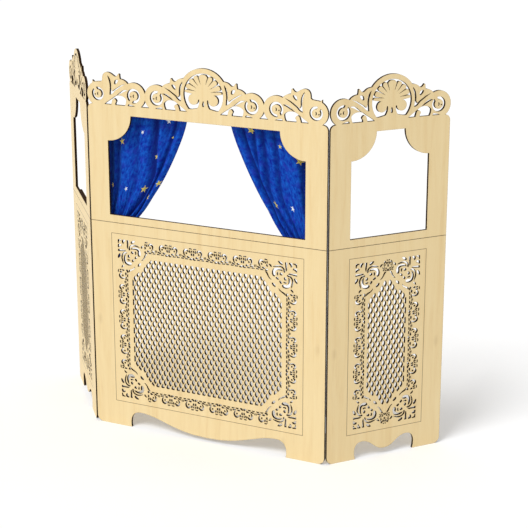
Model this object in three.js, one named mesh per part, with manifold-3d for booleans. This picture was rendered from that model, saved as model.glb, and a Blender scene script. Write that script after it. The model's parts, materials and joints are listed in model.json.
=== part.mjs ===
// A folding puppet theater stand in plywood. Two wings hang on a wide centre panel, and each
// panel is a pierced lower board under an upper board with a window and a scrolled crest.
// A rod behind the centre window carries two curtains, drawn aside by straps.
// Millimetres, +Z up. The audience is on the -Y side, and the wings fold back towards +Y.

import * as THREE from "three";
import { mergeVertices } from "three/addons/utils/BufferGeometryUtils.js";
import Module from "manifold-3d";

const wasm = await Module();
wasm.setup();

const degrees = THREE.MathUtils.degToRad;

// Clearances and the fineness of round edges
const seat = 0.3; // between a piece and the face that carries it
const seamGap = 0.6; // open joint between a lower and an upper board
const panelGap = 0.6; // between the edges of two panels in one line
const runningGap = 0.15; // round a hinge pin
const arcSag = 0.6; // largest distance from a round edge to its facets
const arcSagShare = 0.02; // and its largest share of the radius

// Panels
const centreWidth = 1000;
const wingWidth = 497;
const boardThickness = 10;
const seamHeight = 850;
const upperBoardHeight = 465;
const foldAngle = degrees(50);
const topCornerRadius = 21;
const footCornerRadius = 26;

// Windows
const windowSide = 86;
const windowSill = 31;
const windowHead = 37;
const windowEarRadius = 102.5;

// Feet and the waved apron between them
const centreFootWidth = 160;
const wingFootWidth = 123;
const apronRise = 68;
const centreApronDip = 15;
const wingApronDip = 25;

// Lace, the band of pierced scrollwork in each lower board
const laceBelowSeam = 63;
const laceAboveFloor = 123;
const centreLaceSide = 115; // in from the board's edge
const wingLaceSide = 109;
const laceDepth = 46;
const laceCorner = 121; // of each side, before its first motif's middle
const lacePitch = 105.5; // about, from one motif's middle to the next

// Lattice field inside the lace
const latticeBelowLace = 70; // in from the lace's top and bottom
const centreLatticeInset = 64; // in from the lace's sides
const wingLatticeInset = 57.5;
const centreLatticeChamfer = 79;
const wingLatticeChamfer = 82;
const latticePitch = 57;
const latticeRow = 49.5;
const latticeShiftShare = 0.5;
const latticeHoleShare = 0.66;
const smallestHoleShare = 0.25;

// Crest
const crestHeight = 125;
const ringLift = 68;
const ringRadius = 101;
const ringHoleRadius = 82;
const ringHoleFoot = 14;
const ringJoint = degrees(35);
const slitFromRing = 97.5;
const scrollFromSlit = 100;
const scrollRadius = 51;
const scrollLift = 42;
const scrollPairSpacing = 99;
const scrollSlotRadius = 28;
const scrollEyeRadius = 18;
const scrollNeck = 13;
const endScrollRadius = 47;
const endScrollLift = 40;
const slitWidth = 6;
const crestSole = 2;

// Scallop shell inside the crest ring
const shellRadius = 78;
const shellHub = 78;
const shellSlitReach = 30;
const shellSlitWidth = 4;
const shellCurlRadius = 20.5;
const shellCurlOut = 41;
const shellCurlLift = 51;
const shellStemHalf = 17;

// Battens that join the lower and upper boards behind
const battenHeight = 56;
const battenThickness = 10;
const battenCorner = 8;
const centreBattenLength = 570;
const wingBattenLength = 250;

// Hinges, whose pins stand in the plane of the boards' backs
const hingeHeight = 64;
const hingeLeafWidth = 24;
const hingeLeafThickness = 1.5;
const knuckleRadius = 2.7;
const knuckleRelief = 5.5; // from the pin's axis to a plate
const knuckleGap = 0.4;
const pinRadius = 1.4;
const pinHeadRadius = 2.4;
const pinHeadHeight = 1.4;
const lowHingeHeight = 160;
const middleHingeBelowSeam = 190;
const highHingeBelowTop = 195;
const knuckleCount = 3;
const knuckleSides = 8;

// Curtain rod and its brackets
const rodRadius = 5.5;
const rodBelowTop = 18;
const rodBehind = 34;
const rodEndInset = 45;
const rodSides = 16;
const bracketWidth = 12;
const bracketInset = 48;
const bracketEyeRadius = 10;
const bracketRise = 13;
const bracketDrop = 34;
const bracketToe = 8;
const bracketEyeStart = degrees(-75);

// Curtains
const pocketRadius = 8;
const curtainInset = 66;
const curtainSpread = 339;
const tieBelowSeam = 75;
const curtainFolds = 6;
const curtainThickness = 3;
const foldDepth = 11;
const bunchThickness = 9;

// Where a tied curtain lies: shares of the spread (edges), fold depth and rod distance
const tiedOuterShare = -0.024;
const tiedInnerShare = 0.108;
const tiedFoldShare = 0.35;
const tiedDepthShare = 0.47;

// Straps that hold the curtains aside
const strapHeight = 16;
const strapThickness = 1.6;
const strapTab = 9;
const strapCorner = 5;
const strapSlack = 1;

const boardTop = seamHeight + upperBoardHeight;
const laceHeight = seamHeight - laceBelowSeam - laceAboveFloor;
const laceMiddle = laceAboveFloor + laceHeight / 2;
const latticeHeight = laceHeight - 2 * latticeBelowLace;
const rodLift = boardTop - rodBelowTop;
const tieLift = seamHeight - tieBelowSeam;
const strapWidth = curtainSpread * (tiedInnerShare - tiedOuterShare) + 2 * strapSlack;
const tieInset = curtainInset + (curtainSpread * (tiedInnerShare + tiedOuterShare)) / 2;
const strapDepth =
  rodBehind * tiedDepthShare + foldDepth * tiedFoldShare + bunchThickness / 2 + seat;

const wingReach = panelGap / 2 + wingWidth;
const overallDepth = boardThickness + wingReach * Math.sin(foldAngle);

// Materials
function plywood() {
  return new THREE.MeshStandardMaterial({ color: 0xf2d9a6, roughness: 0.62, metalness: 0 });
}

function beech() {
  return new THREE.MeshStandardMaterial({ color: 0xd9b483, roughness: 0.5, metalness: 0 });
}

function zincSteel() {
  return new THREE.MeshStandardMaterial({ color: 0xb9bcc0, roughness: 0.35, metalness: 1 });
}

function blueCotton() {
  return new THREE.MeshStandardMaterial({ color: 0x1746a8, roughness: 0.9, metalness: 0 });
}

// Outlines are lists of [x, y] pairs.
function arc([x, y], radius, from, to) {
  const step = 2 * Math.acos(1 - Math.min(arcSag / radius, arcSagShare));
  const count = Math.max(2, Math.ceil(Math.abs(to - from) / step));
  return Array.from({ length: count + 1 }, (_, i) => {
    const angle = from + ((to - from) * i) / count;
    return [x + radius * Math.cos(angle), y + radius * Math.sin(angle)];
  });
}

function bezier(start, control1, control2, end, count) {
  const vectors = [start, control1, control2, end].map(([x, y]) => new THREE.Vector2(x, y));
  return new THREE.CubicBezierCurve(...vectors).getPoints(count).map(({ x, y }) => [x, y]);
}

function scaled(shares, width, height) {
  return shares.map(([x, y]) => [x * width, y * height]);
}

function moved(points, x, y) {
  return points.map(([a, b]) => [a + x, b + y]);
}

function flipped(points, about = 0) {
  return points.map(([x, y]) => [2 * about - x, y]);
}

// The mirror image, run the other way, so that it carries on from the first outline.
function mirrored(points, about = 0) {
  return flipped(points, about).reverse();
}

function apart([x, y], [a, b]) {
  return Math.hypot(x - a, y - b) > seat;
}

// Keeps the part of a convex outline on the inner side of each line [nx, ny, reach].
function clipped(points, lines) {
  const kept = lines.reduce((outline, [nx, ny, reach]) => {
    const height = ([x, y]) => reach - nx * x - ny * y;
    return outline.flatMap((p, i) => {
      const q = outline[(i + 1) % outline.length];
      const [hp, hq] = [height(p), height(q)];
      const share = hp / (hp - hq);
      const crossing = [p[0] + (q[0] - p[0]) * share, p[1] + (q[1] - p[1]) * share];
      if (hp >= 0) return hq >= 0 ? [p] : [p, crossing];
      return hq >= 0 ? [crossing] : [];
    });
  }, points);
  return kept.filter((p, i) => apart(p, kept[(i + 1) % kept.length]));
}

function area(points) {
  return THREE.ShapeUtils.area(points.map(([x, y]) => new THREE.Vector2(x, y)));
}

// Solids
function prisms(outlines, depth) {
  const shapes = outlines.map(
    (points) => new THREE.Shape(points.map(([x, y]) => new THREE.Vector2(x, y))),
  );
  return new THREE.ExtrudeGeometry(shapes, { depth, bevelEnabled: false });
}

function extrusion(outline, holes, depth) {
  const whole = prisms([outline], depth);
  if (!holes.length) return whole;
  const cuts = prisms(holes, 3 * depth).translate(0, 0, -depth);
  return geometryOf(solidOf(whole).subtract(solidOf(cuts)));
}

// An upright plate: the outline's x runs along X and its y up Z, and the plate lies behind y = 0.
function uprightPlate(outline, holes, thickness) {
  return extrusion(outline, holes, thickness)
    .rotateX(Math.PI / 2)
    .translate(0, thickness, 0);
}

function solidOf(geometry) {
  const bare = geometry.clone();
  bare.deleteAttribute("normal");
  bare.deleteAttribute("uv");
  const merged = mergeVertices(bare);
  return new wasm.Manifold(
    new wasm.Mesh({
      numProp: 3,
      vertProperties: merged.attributes.position.array,
      triVerts: new Uint32Array(merged.index.array),
    }),
  );
}

function geometryOf(solid) {
  const { vertProperties, triVerts } = solid.getMesh();
  const geometry = new THREE.BufferGeometry();
  geometry.setAttribute("position", new THREE.BufferAttribute(vertProperties, 3));
  geometry.setIndex(new THREE.BufferAttribute(triVerts, 1));
  geometry.computeVertexNormals();
  return geometry;
}

function piece(name, geometry, material) {
  const mesh = new THREE.Mesh(geometry, material);
  mesh.name = name;
  return mesh;
}

// Crest. A unit's outlines run from its slit (x = 0) towards its scroll, above the board's top.
// Shares are of the distance from slit to scroll and of the crest's height.
const humpShares = [[-0.03, 0.996], [0.08, 0.96], [0.15, 0.912], [0.2, 0.888]];
const spikeShares = [
  [0.29, 0.912], [0.33, 0.952], [0.36, 0.984], [0.405, 0.968], [0.41, 0.888], [0.43, 0.824],
];
const leafShares = [[0.52, 0.816], [0.62, 0.784], [0.71, 0.736], [0.75, 0.696]];
const endHumpShares = [
  [0.2, 0.888], [0.12, 0.928], [0.02, 0.976], [-0.1, 1.004], [-0.22, 0.992], [-0.31, 0.928],
  [-0.35, 0.832], [-0.355, 0.752], [-0.4, 0.712],
];
const slitLowerShares = [[0.06, 0.344], [0.22, 0.464], [0.44, 0.584], [0.66, 0.688]];
const slitUpperShares = [[0.44, 0.62], [0.23, 0.516], [0.08, 0.424]];
const leafHoleShares = [
  [0.35, 0.784], [0.27, 0.8], [0.19, 0.76], [0.165, 0.672], [0.21, 0.648], [0.3, 0.7],
];
const bandSlotShares = [
  [0.74, 0.488], [0.6, 0.444], [0.42, 0.366], [0.25, 0.3], [0.42, 0.416], [0.6, 0.496],
];
const archShares = [
  [0.62, 0], [0.67, 0.1], [0.68, 0.19], [0.6, 0.255], [0.4, 0.3], [0.22, 0.275],
  [0.08, 0.2], [-0.12, 0.095], [-0.28, 0],
];
const curlShares = [
  [0.02, 0], [0.05, 0.09], [0.09, 0.175], [0.15, 0.195], [0.22, 0.16], [0.25, 0.105],
  [0.21, 0.06], [0.2, 0],
];
const sliverShares = [[1.06, 0], [0.74, 0], [0.78, 0.056], [0.9, 0.04]];
const slitRingAngles = [23, 12, 0, -9].map(degrees);
const slitBackAngles = [-4, 6, 17].map(degrees);
const slitInnerShare = 0.33;
const slitTipAngle = degrees(28);
const slitFootAngle = degrees(-17);
const scrollStart = degrees(112);
const hookNeck = degrees(120);
const loopNeck = degrees(-117);
const barbAngle = degrees(66);
const barbReachShare = 1.2;
const barbHalf = degrees(5);

function crestPoints(shares) {
  return scaled(shares, scrollFromSlit, crestHeight);
}

// A closed C-shaped slot between a scroll's band and its eye, which hangs on at the neck.
function scrollSlot(centre, radius, eyeRadius, neckAngle) {
  const outer = Math.asin(scrollNeck / 2 / radius);
  const inner = Math.asin(scrollNeck / 2 / eyeRadius);
  return [
    ...arc(centre, radius, neckAngle + outer, neckAngle - outer + 2 * Math.PI),
    ...arc(centre, eyeRadius, neckAngle - inner + 2 * Math.PI, neckAngle + inner),
  ];
}

// The two slits that meet at the unit's foot: one along the ring and one under the leaf.
function footSlits() {
  const ring = [-slitFromRing, ringLift];
  const onRing = (radius, angle) => [
    ring[0] + radius * Math.cos(angle),
    ring[1] + radius * Math.sin(angle),
  ];
  const inner = slitFromRing - slitWidth * slitInnerShare;
  const outer = inner + slitWidth;
  return [
    onRing(slitFromRing, slitTipAngle),
    ...slitRingAngles.map((angle) => onRing(inner, angle)),
    onRing(slitFromRing, slitFootAngle),
    ...crestPoints(slitLowerShares),
    ...crestPoints(slitUpperShares),
    ...slitBackAngles.map((angle) => onRing(outer, angle)),
  ];
}

function unitHoles(neckAngle) {
  const sole = (points) => moved(points, 0, crestSole);
  return [
    footSlits(),
    crestPoints(leafHoleShares),
    crestPoints(bandSlotShares),
    sole(crestPoints([...archShares, ...curlShares])),
    sole(crestPoints(sliverShares)),
    scrollSlot([scrollFromSlit, scrollLift], scrollSlotRadius, scrollEyeRadius, neckAngle),
  ];
}

// The unit's upper edge from its hump to the end of its scroll.
function unitEdge(scrollEnd) {
  return [
    ...crestPoints([...spikeShares, ...leafShares]),
    ...arc([scrollFromSlit, scrollLift], scrollRadius, scrollStart, scrollEnd),
  ];
}

// The open space inside the ring, round the scallop shell, and the drop in the shell's stem.
const lobeSlitAngles = [8, 29, 50, 71, 109, 130, 151, 172].map(degrees);
const stemShares = [[2.8, 0], [1.5, 0.12], [1, 0.62], [1, 1]];
const shellHip = degrees(4);
const curlEnd = degrees(440);
const lobeRoundShare = 0.11;
const lobePoints = 4;
const stemHookLift = 52;
const dropShares = [[0, 1], [0.8, 0.35], [0.6, 0], [-0.6, 0], [-0.8, 0.35]];
const dropHeight = 22;
const dropHalf = 5;
const dropLift = 26;

function shellReach(angle) {
  const [x, y] = [Math.cos(angle), Math.sin(angle)];
  const rise = (shellHub - ringLift) * y;
  return Math.sqrt(rise * rise + shellRadius ** 2 - (shellHub - ringLift) ** 2) - rise;
}

function shellLobe(from, to) {
  return Array.from({ length: lobePoints + 1 }, (_, i) => {
    const across = (2 * i) / lobePoints - 1;
    const angle = (from + to) / 2 + (across * (to - from)) / 2;
    const reach = shellReach(angle) * (1 - lobeRoundShare * across ** 4);
    return [reach * Math.cos(angle), shellHub + reach * Math.sin(angle)];
  });
}

function shellEdge() {
  const ends = [-shellHip, ...lobeSlitAngles, Math.PI + shellHip];
  return ends.slice(1).flatMap((end, i) => {
    const open = shellSlitWidth / 2 / shellRadius;
    const lobe = shellLobe(ends[i] + open, end - open);
    const last = i === ends.length - 2;
    const slitEnd = [
      shellSlitReach * Math.cos(end),
      shellHub + shellSlitReach * Math.sin(end),
    ];
    return last ? lobe : [...lobe, slitEnd];
  });
}

function ringHoles() {
  const bottom = Math.asin((ringHoleFoot - ringLift) / ringHoleRadius);
  const ring = arc([0, ringLift], ringHoleRadius, bottom, Math.PI - bottom);
  const stemRise = stemHookLift - ringHoleFoot;
  const right = [
    ...moved(scaled(stemShares, shellStemHalf, stemRise), 0, ringHoleFoot),
    ...arc([shellCurlOut, shellCurlLift], shellCurlRadius, Math.PI, curlEnd),
  ];
  return [
    [...ring, ...flipped(right), ...shellEdge().reverse(), ...right.reverse()],
    moved(scaled(dropShares, dropHalf, dropHeight), 0, dropLift),
  ];
}

// Half of a crest to the right of the ring, as x outwards from the ring's centre.
function crestHalf(halfWidth, paired) {
  const scrollAt = slitFromRing + scrollFromSlit;
  const touching = Math.acos(scrollPairSpacing / 2 / scrollRadius);
  const foot = Math.asin(-scrollLift / scrollRadius);
  const edge = [
    ...arc([0, ringLift], ringRadius, Math.PI / 2, ringJoint).slice(1),
    ...moved(crestPoints(humpShares), slitFromRing, 0),
    ...moved(unitEdge(paired ? touching : foot), slitFromRing, 0),
  ];
  const holes = unitHoles(hookNeck).map((hole) => moved(hole, slitFromRing, 0));
  if (!paired) return { edge, holes };

  const farSlit = scrollAt + scrollPairSpacing + scrollFromSlit;
  const outwards = (points) => moved(mirrored(points), farSlit, 0);
  const endCentre = [halfWidth - endScrollRadius, endScrollLift];
  const barb = [
    endCentre[0] + endScrollRadius * barbReachShare * Math.cos(barbAngle),
    endCentre[1] + endScrollRadius * barbReachShare * Math.sin(barbAngle),
  ];
  const endFoot = Math.asin(-endScrollLift / endScrollRadius);
  edge.push(
    ...outwards(unitEdge(touching)).slice(1),
    ...outwards(crestPoints(endHumpShares).reverse()),
    ...arc(endCentre, endScrollRadius, Math.PI / 2, barbAngle + barbHalf),
    barb,
    ...arc(endCentre, endScrollRadius, barbAngle - barbHalf, endFoot),
  );
  const low = Math.asin((crestSole - scrollLift) / scrollRadius);
  const gapSide = arc([scrollAt, scrollLift], scrollRadius, low, -touching);
  const middle = scrollAt + scrollPairSpacing / 2;
  const slotRadius = (scrollSlotRadius * endScrollRadius) / scrollRadius;
  const eyeRadius = (scrollEyeRadius * endScrollRadius) / scrollRadius;
  holes.push(
    ...unitHoles(loopNeck).map((hole) => outwards(hole)),
    [...gapSide, ...mirrored(gapSide, middle).slice(1)],
    scrollSlot(endCentre, slotRadius, eyeRadius, Math.PI - hookNeck),
  );
  return { edge, holes };
}

// Boards
function windowOutline(width) {
  const [left, right] = [windowSide, width - windowSide];
  const [sill, head] = [seamHeight + windowSill, boardTop - windowHead];
  return [
    [left, sill],
    [right, sill],
    ...arc([right, head], windowEarRadius, -Math.PI / 2, -Math.PI),
    ...arc([left, head], windowEarRadius, 0, -Math.PI / 2),
  ];
}

function upperBoard(width, paired) {
  const middle = width / 2;
  const { edge, holes } = crestHalf(middle, paired);
  const place = (points) => moved(points, middle, boardTop);
  const corner = arc(
    [middle - topCornerRadius, -topCornerRadius], topCornerRadius, Math.PI / 2, 0,
  );
  const half = place([...edge, ...corner]);
  const outline = [
    [0, seamHeight + seamGap],
    ...mirrored(half, middle),
    ...place([[0, ringLift + ringRadius]]),
    ...half,
    [width, seamHeight + seamGap],
  ];
  const cuts = [...holes, ...holes.map((hole) => mirrored(hole)), ...ringHoles()].map(place);
  return uprightPlate(outline, [windowOutline(width), ...cuts], boardThickness);
}

// A toe rises from the foot, and a wave runs down from it to the middle of the apron.
// Toe shares are of the rise; wave shares are of the way to the middle and of the fall.
const centreFoot = {
  toeShares: [[0, 0], [-0.12, 0.66], [0.15, 1], [0.59, 1]],
  waveShares: [[0, 1], [0.3, 1], [0.47, 0], [1, 0]],
  footWidth: centreFootWidth,
  dip: centreApronDip,
};
const wingFoot = {
  toeShares: [[0, 0], [-0.16, 0.59], [-0.02, 1], [0.41, 1]],
  waveShares: [[0, 1], [0.45, 1], [0.55, 0], [1, 0]],
  footWidth: wingFootWidth,
  dip: wingApronDip,
};
const toePoints = 5;
const wavePoints = 9;

function lowerOutline(width, { toeShares, waveShares, footWidth, dip }) {
  const middle = width / 2;
  const toe = moved(bezier(...scaled(toeShares, apronRise, apronRise), toePoints), footWidth, 0);
  const [start] = toe.slice(-1);
  const controls = scaled(waveShares, middle - start[0], apronRise - dip);
  const wave = moved(bezier(...controls, wavePoints), start[0], dip);
  const half = [
    [0, seamHeight],
    ...arc([footCornerRadius, footCornerRadius], footCornerRadius, Math.PI, 1.5 * Math.PI),
    ...toe,
    ...wave.slice(1),
  ];
  return [...half, ...mirrored(half, middle).slice(1)];
}

// Lace. A bay runs from one motif's middle to the next and holds two crescents, drawn from the
// middle and up from the band's inner side, in shares of its depth. A corner's cuts are drawn by
// their distances from the band's two outer sides, in shares of the corner.
const crescentShares = [[0.2, 0.5], [0.52, 0.94], [0.92, 0.6], [0.62, 0.1], [0.67, 0.58]];
const cornerShares = [
  [[0.86, 0.34], [0.875, 0.46], [0.74, 0.58], [0.645, 0.61], [0.61, 0.37], [0.72, 0.25]],
  [[0.84, 0.215], [0.6, 0.14], [0.42, 0.265], [0.43, 0.355], [0.48, 0.27], [0.61, 0.185]],
];

function swapped(points) {
  return points.map(([x, y]) => [y, x]);
}

// The crescents along one side of a lace, which runs along x at the given reach.
function laceSide(halfLength, reach) {
  const free = 2 * (halfLength - laceCorner);
  const bays = Math.max(0, Math.round(free / lacePitch));
  const crescent = moved(scaled(crescentShares, laceDepth, laceDepth), 0, reach - laceDepth);
  return Array.from({ length: bays }, (_, i) => {
    const [from, to] = [i, i + 1].map((k) => free * (k / bays - 0.5));
    return [moved(crescent, from, 0), moved(mirrored(crescent), to, 0)];
  }).flat();
}

function laceHoles(width, side) {
  const [halfX, halfZ] = [width / 2 - side, laceHeight / 2];
  const [cornerX, cornerZ] = [halfX, halfZ].map((half) => Math.min(laceCorner, half));
  const corner = cornerShares.flatMap((shares) => [shares, swapped(shares)])
    .map((shares) => shares.map(([a, b]) => [halfX - a * cornerX, halfZ - b * cornerZ]));
  const half = [
    ...laceSide(halfX, halfZ),
    ...laceSide(halfZ, halfX).map(swapped),
    ...corner,
    ...corner.map((hole) => flipped(hole)),
  ];
  const turned = half.map((hole) => hole.map(([x, y]) => [-x, -y]));
  return [...half, ...turned].map((hole) => moved(hole, width / 2, laceMiddle));
}

// Lens-shaped holes in staggered rows, cut off along the field's eight sides.
function latticeHoles(width, fieldWidth, chamfer) {
  const [halfX, halfZ] = [fieldWidth / 2, latticeHeight / 2];
  const slant = Math.SQRT1_2;
  const lines = [-1, 1].flatMap((sx) => [
    [sx, 0, halfX],
    [0, sx, halfZ],
    ...[-1, 1].map((sz) => [sx * slant, sz * slant, (halfX + halfZ - chamfer) * slant]),
  ]);
  const [reachX, reachZ] = [latticePitch / 2, latticeRow].map((size) => size * latticeHoleShare);
  const diamond = [[reachX, 0], [0, reachZ], [-reachX, 0], [0, -reachZ]];
  const whole = Math.abs(area(diamond));
  const rows = Math.ceil(halfZ / latticeRow);
  const columns = Math.ceil(halfX / latticePitch) + 1;
  const holes = [];
  for (let row = -rows; row <= rows; row++) {
    const shift = row % 2 ? latticeShiftShare : 0;
    for (let column = -columns; column < columns; column++) {
      const hole = clipped(
        moved(diamond, (column + shift) * latticePitch, row * latticeRow), lines,
      );
      if (hole.length > 2 && Math.abs(area(hole)) > whole * smallestHoleShare) {
        holes.push(moved(hole, width / 2, laceMiddle));
      }
    }
  }
  return holes;
}

function lowerBoard(width, { foot, lace, inset, chamfer }) {
  const fieldWidth = width - 2 * (lace + inset);
  const holes = [...laceHoles(width, lace), ...latticeHoles(width, fieldWidth, chamfer)];
  return uprightPlate(lowerOutline(width, foot), holes, boardThickness);
}

// Slots in a board's back corners, into which the knuckles and the pin's head are let.
function slotted(board, pins, heights) {
  const side = 2 * (knuckleRadius + seat);
  const [below, above] = [hingeHeight / 2 + seat, hingeHeight / 2 + pinHeadHeight + 2 * seat];
  const slots = pins.flatMap((x) => heights.map((z) => (
    new THREE.BoxGeometry(side, side, below + above)
      .translate(x, boardThickness, z + (above - below) / 2)
  )));
  return geometryOf(
    slots.reduce((solid, slot) => solid.subtract(solidOf(slot)), solidOf(board)),
  );
}

function batten(length) {
  const [x, z] = [length / 2 - battenCorner, battenHeight / 2 - battenCorner];
  const outline = [
    ...arc([x, z], battenCorner, 0, Math.PI / 2),
    ...arc([-x, z], battenCorner, Math.PI / 2, Math.PI),
    ...arc([-x, -z], battenCorner, Math.PI, 1.5 * Math.PI),
    ...arc([x, -z], battenCorner, 1.5 * Math.PI, 2 * Math.PI),
  ];
  return uprightPlate(outline, [], battenThickness);
}

// A hinge leaf: a plate on the board's back, towards +X, and its knuckles round the pin.
function hingeLeaf(knuckles) {
  const step = (hingeHeight + knuckleGap) / knuckleCount;
  const length = step - knuckleGap;
  const plateLength = hingeLeafWidth - knuckleRelief;
  const back = seat + hingeLeafThickness / 2;
  let leaf = solidOf(
    new THREE.BoxGeometry(plateLength, hingeLeafThickness, hingeHeight)
      .translate(knuckleRelief + plateLength / 2, back, hingeHeight / 2),
  );
  for (const k of knuckles) {
    const [low, middle] = [k * step, k * step + length / 2];
    const barrel = new THREE.CylinderGeometry(
      knuckleRadius, knuckleRadius, length, knuckleSides,
    ).rotateX(Math.PI / 2).translate(0, 0, middle);
    const link = new THREE.BoxGeometry(2 * knuckleRelief, hingeLeafThickness, length)
      .translate(knuckleRelief, back, low + length / 2);
    leaf = leaf.add(solidOf(barrel)).add(solidOf(link));
  }
  const bore = new THREE.CylinderGeometry(
    pinRadius + runningGap, pinRadius + runningGap, 2 * hingeHeight, knuckleSides,
  ).rotateX(Math.PI / 2).translate(0, 0, hingeHeight / 2);
  return geometryOf(leaf.subtract(solidOf(bore)));
}

function hingePin() {
  const top = hingeHeight + seat;
  const radius = pinRadius - runningGap / 2;
  const profile = [
    [0, 0], [radius, 0], [radius, top], [pinHeadRadius, top],
    [pinHeadRadius, top + pinHeadHeight / 2], [pinHeadRadius / 2, top + pinHeadHeight],
    [0, top + pinHeadHeight],
  ].map(([x, y]) => new THREE.Vector2(x, y));
  return new THREE.LatheGeometry(profile, knuckleSides).rotateX(Math.PI / 2);
}

// Curtain fittings
function curtainRod() {
  const length = centreWidth - 2 * rodEndInset;
  return new THREE.CylinderGeometry(rodRadius, rodRadius, length, rodSides)
    .rotateZ(Math.PI / 2);
}

// A bracket's outline runs y behind the board and z from the rod's axis.
function rodBracket() {
  const eye = [rodBehind, 0];
  const outline = [
    [seat, -bracketDrop],
    [seat + bracketToe, -bracketDrop],
    ...arc(eye, bracketEyeRadius, bracketEyeStart, Math.PI / 2),
    [seat + bracketToe, bracketRise],
    [seat, bracketRise],
  ];
  const hole = arc(eye, rodRadius + seat, 0, 2 * Math.PI).slice(1);
  return extrusion(outline, [hole], bracketWidth)
    .rotateX(Math.PI / 2)
    .rotateZ(Math.PI / 2);
}

// A strap's outline runs along the board and y behind it: two tabs and a loop between them.
function strap() {
  const [inner, outer] = [strapWidth / 2, strapWidth / 2 + strapThickness];
  const [innerCorner, outerCorner] = [strapCorner - strapThickness, strapCorner];
  const tab = seat + strapThickness;
  const right = [
    [outer + strapTab, seat],
    [outer + strapTab, tab],
    [outer, tab],
    ...arc([outer - outerCorner, inDepth(outerCorner, strapThickness)], outerCorner, 0, Math.PI / 2),
  ];
  const inside = [
    ...arc([inner - innerCorner, inDepth(innerCorner, 0)], innerCorner, Math.PI / 2, 0),
    [inner, seat],
  ];
  const outline = [...right, ...mirrored(right), ...mirrored(inside), ...inside];
  return extrusion(outline, [], strapHeight);
}

function inDepth(corner, thickness) {
  return strapDepth + thickness - corner;
}

// A curtain's rows from the rod to the tail: [drop, outer edge, inner edge, fold, depth, bunch].
// Shares are of the drop to the tie, the spread, the spread, the fold depth, the rod's distance
// behind the board and the way from flat cloth to the tied bunch.
const curtainShares = [
  [0.012, 0, 1, 0.25, 1, 0],
  [0.06, 0, 0.99, 0.5, 1, 0],
  [0.16, -0.012, 0.94, 0.8, 1, 0],
  [0.262, -0.028, 0.879, 0.95, 1, 0],
  [0.375, -0.036, 0.8, 1, 1, 0],
  [0.483, -0.04, 0.714, 1, 1, 0],
  [0.565, -0.04, 0.64, 1, 0.98, 0.05],
  [0.646, -0.04, 0.557, 0.95, 0.95, 0.1],
  [0.73, -0.038, 0.475, 0.9, 0.88, 0.2],
  [0.808, -0.034, 0.385, 0.8, 0.78, 0.35],
  [0.9, -0.028, 0.248, 0.6, 0.6, 0.65],
  [0.975, tiedOuterShare, tiedInnerShare, tiedFoldShare, tiedDepthShare, 1],
  [1.025, tiedOuterShare, tiedInnerShare, tiedFoldShare, tiedDepthShare, 1],
  [1.1, -0.03, 0.13, 0.5, 0.47, 0.7],
  [1.22, -0.035, 0.145, 0.55, 0.47, 0.5],
];
const foldSteps = 4;

// Joins a front and a back grid of points into one closed sheet.
function closedSheet(front, back) {
  const [rows, columns] = [front.length, front[0].length];
  const positions = [...front.flat(), ...back.flat()].flat();
  const at = (row, column) => row * columns + column;
  const shift = rows * columns;
  const faces = [];
  for (let row = 0; row < rows - 1; row++) {
    for (let column = 0; column < columns - 1; column++) {
      const [a, b] = [at(row, column), at(row, column + 1)];
      const [c, d] = [at(row + 1, column), at(row + 1, column + 1)];
      faces.push([a, c, d], [a, d, b]);
      faces.push([a + shift, d + shift, c + shift], [a + shift, b + shift, d + shift]);
    }
  }
  const span = (count) => Array.from({ length: count - 1 }, (_, i) => i);
  const rim = [
    ...span(rows).map((row) => at(row, 0)),
    ...span(columns).map((column) => at(rows - 1, column)),
    ...span(rows).map((row) => at(rows - 1 - row, columns - 1)),
    ...span(columns).map((column) => at(0, columns - 1 - column)),
  ];
  rim.forEach((a, i) => {
    const b = rim[(i + 1) % rim.length];
    faces.push([b, a, a + shift], [b, a + shift, b + shift]);
  });
  const geometry = new THREE.BufferGeometry();
  geometry.setAttribute("position", new THREE.Float32BufferAttribute(positions, 3));
  geometry.setIndex(faces.flat());
  return geometry;
}

// A curtain in the panel's own frame: x from the panel's edge, y behind the board, z from the floor.
function curtain() {
  const drop = rodLift - tieLift;
  const columns = curtainFolds * foldSteps;
  const grid = (backwards) => curtainShares.map(([down, outer, inner, fold, depth, bunch]) => {
    const thickness = curtainThickness + (bunchThickness - curtainThickness) * bunch;
    return Array.from({ length: columns + 1 }, (_, i) => {
      const across = outer + ((inner - outer) * i) / columns;
      const wave = Math.sin((2 * Math.PI * i) / foldSteps) * foldDepth * fold;
      return [
        curtainInset + curtainSpread * across,
        rodBehind * depth + wave + (backwards ? thickness / 2 : -thickness / 2),
        rodLift - drop * down,
      ];
    });
  });
  const pocket = extrusion(
    arc([0, 0], pocketRadius, 0, 2 * Math.PI).slice(1),
    [arc([0, 0], rodRadius + seat, 0, 2 * Math.PI).slice(1)],
    curtainSpread,
  ).rotateX(Math.PI / 2).rotateZ(Math.PI / 2).translate(curtainInset, rodBehind, rodLift);
  return geometryOf(solidOf(closedSheet(grid(false), grid(true))).add(solidOf(pocket)));
}

// What sets the lower boards apart
const centrePattern = {
  foot: centreFoot,
  lace: centreLaceSide,
  inset: centreLatticeInset,
  chamfer: centreLatticeChamfer,
  hingedEdges: 2,
};
const wingPattern = {
  foot: wingFoot,
  lace: wingLaceSide,
  inset: wingLatticeInset,
  chamfer: wingLatticeChamfer,
  hingedEdges: 1,
};

// Assembly. A half group holds its pieces as on the left, and the right one is its mirror image.
const sides = { left: -1, right: 1 };
const hinges = {
  lower: lowHingeHeight,
  middle: seamHeight - middleHingeBelowSeam,
  upper: boardTop - highHingeBelowTop,
};

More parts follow.
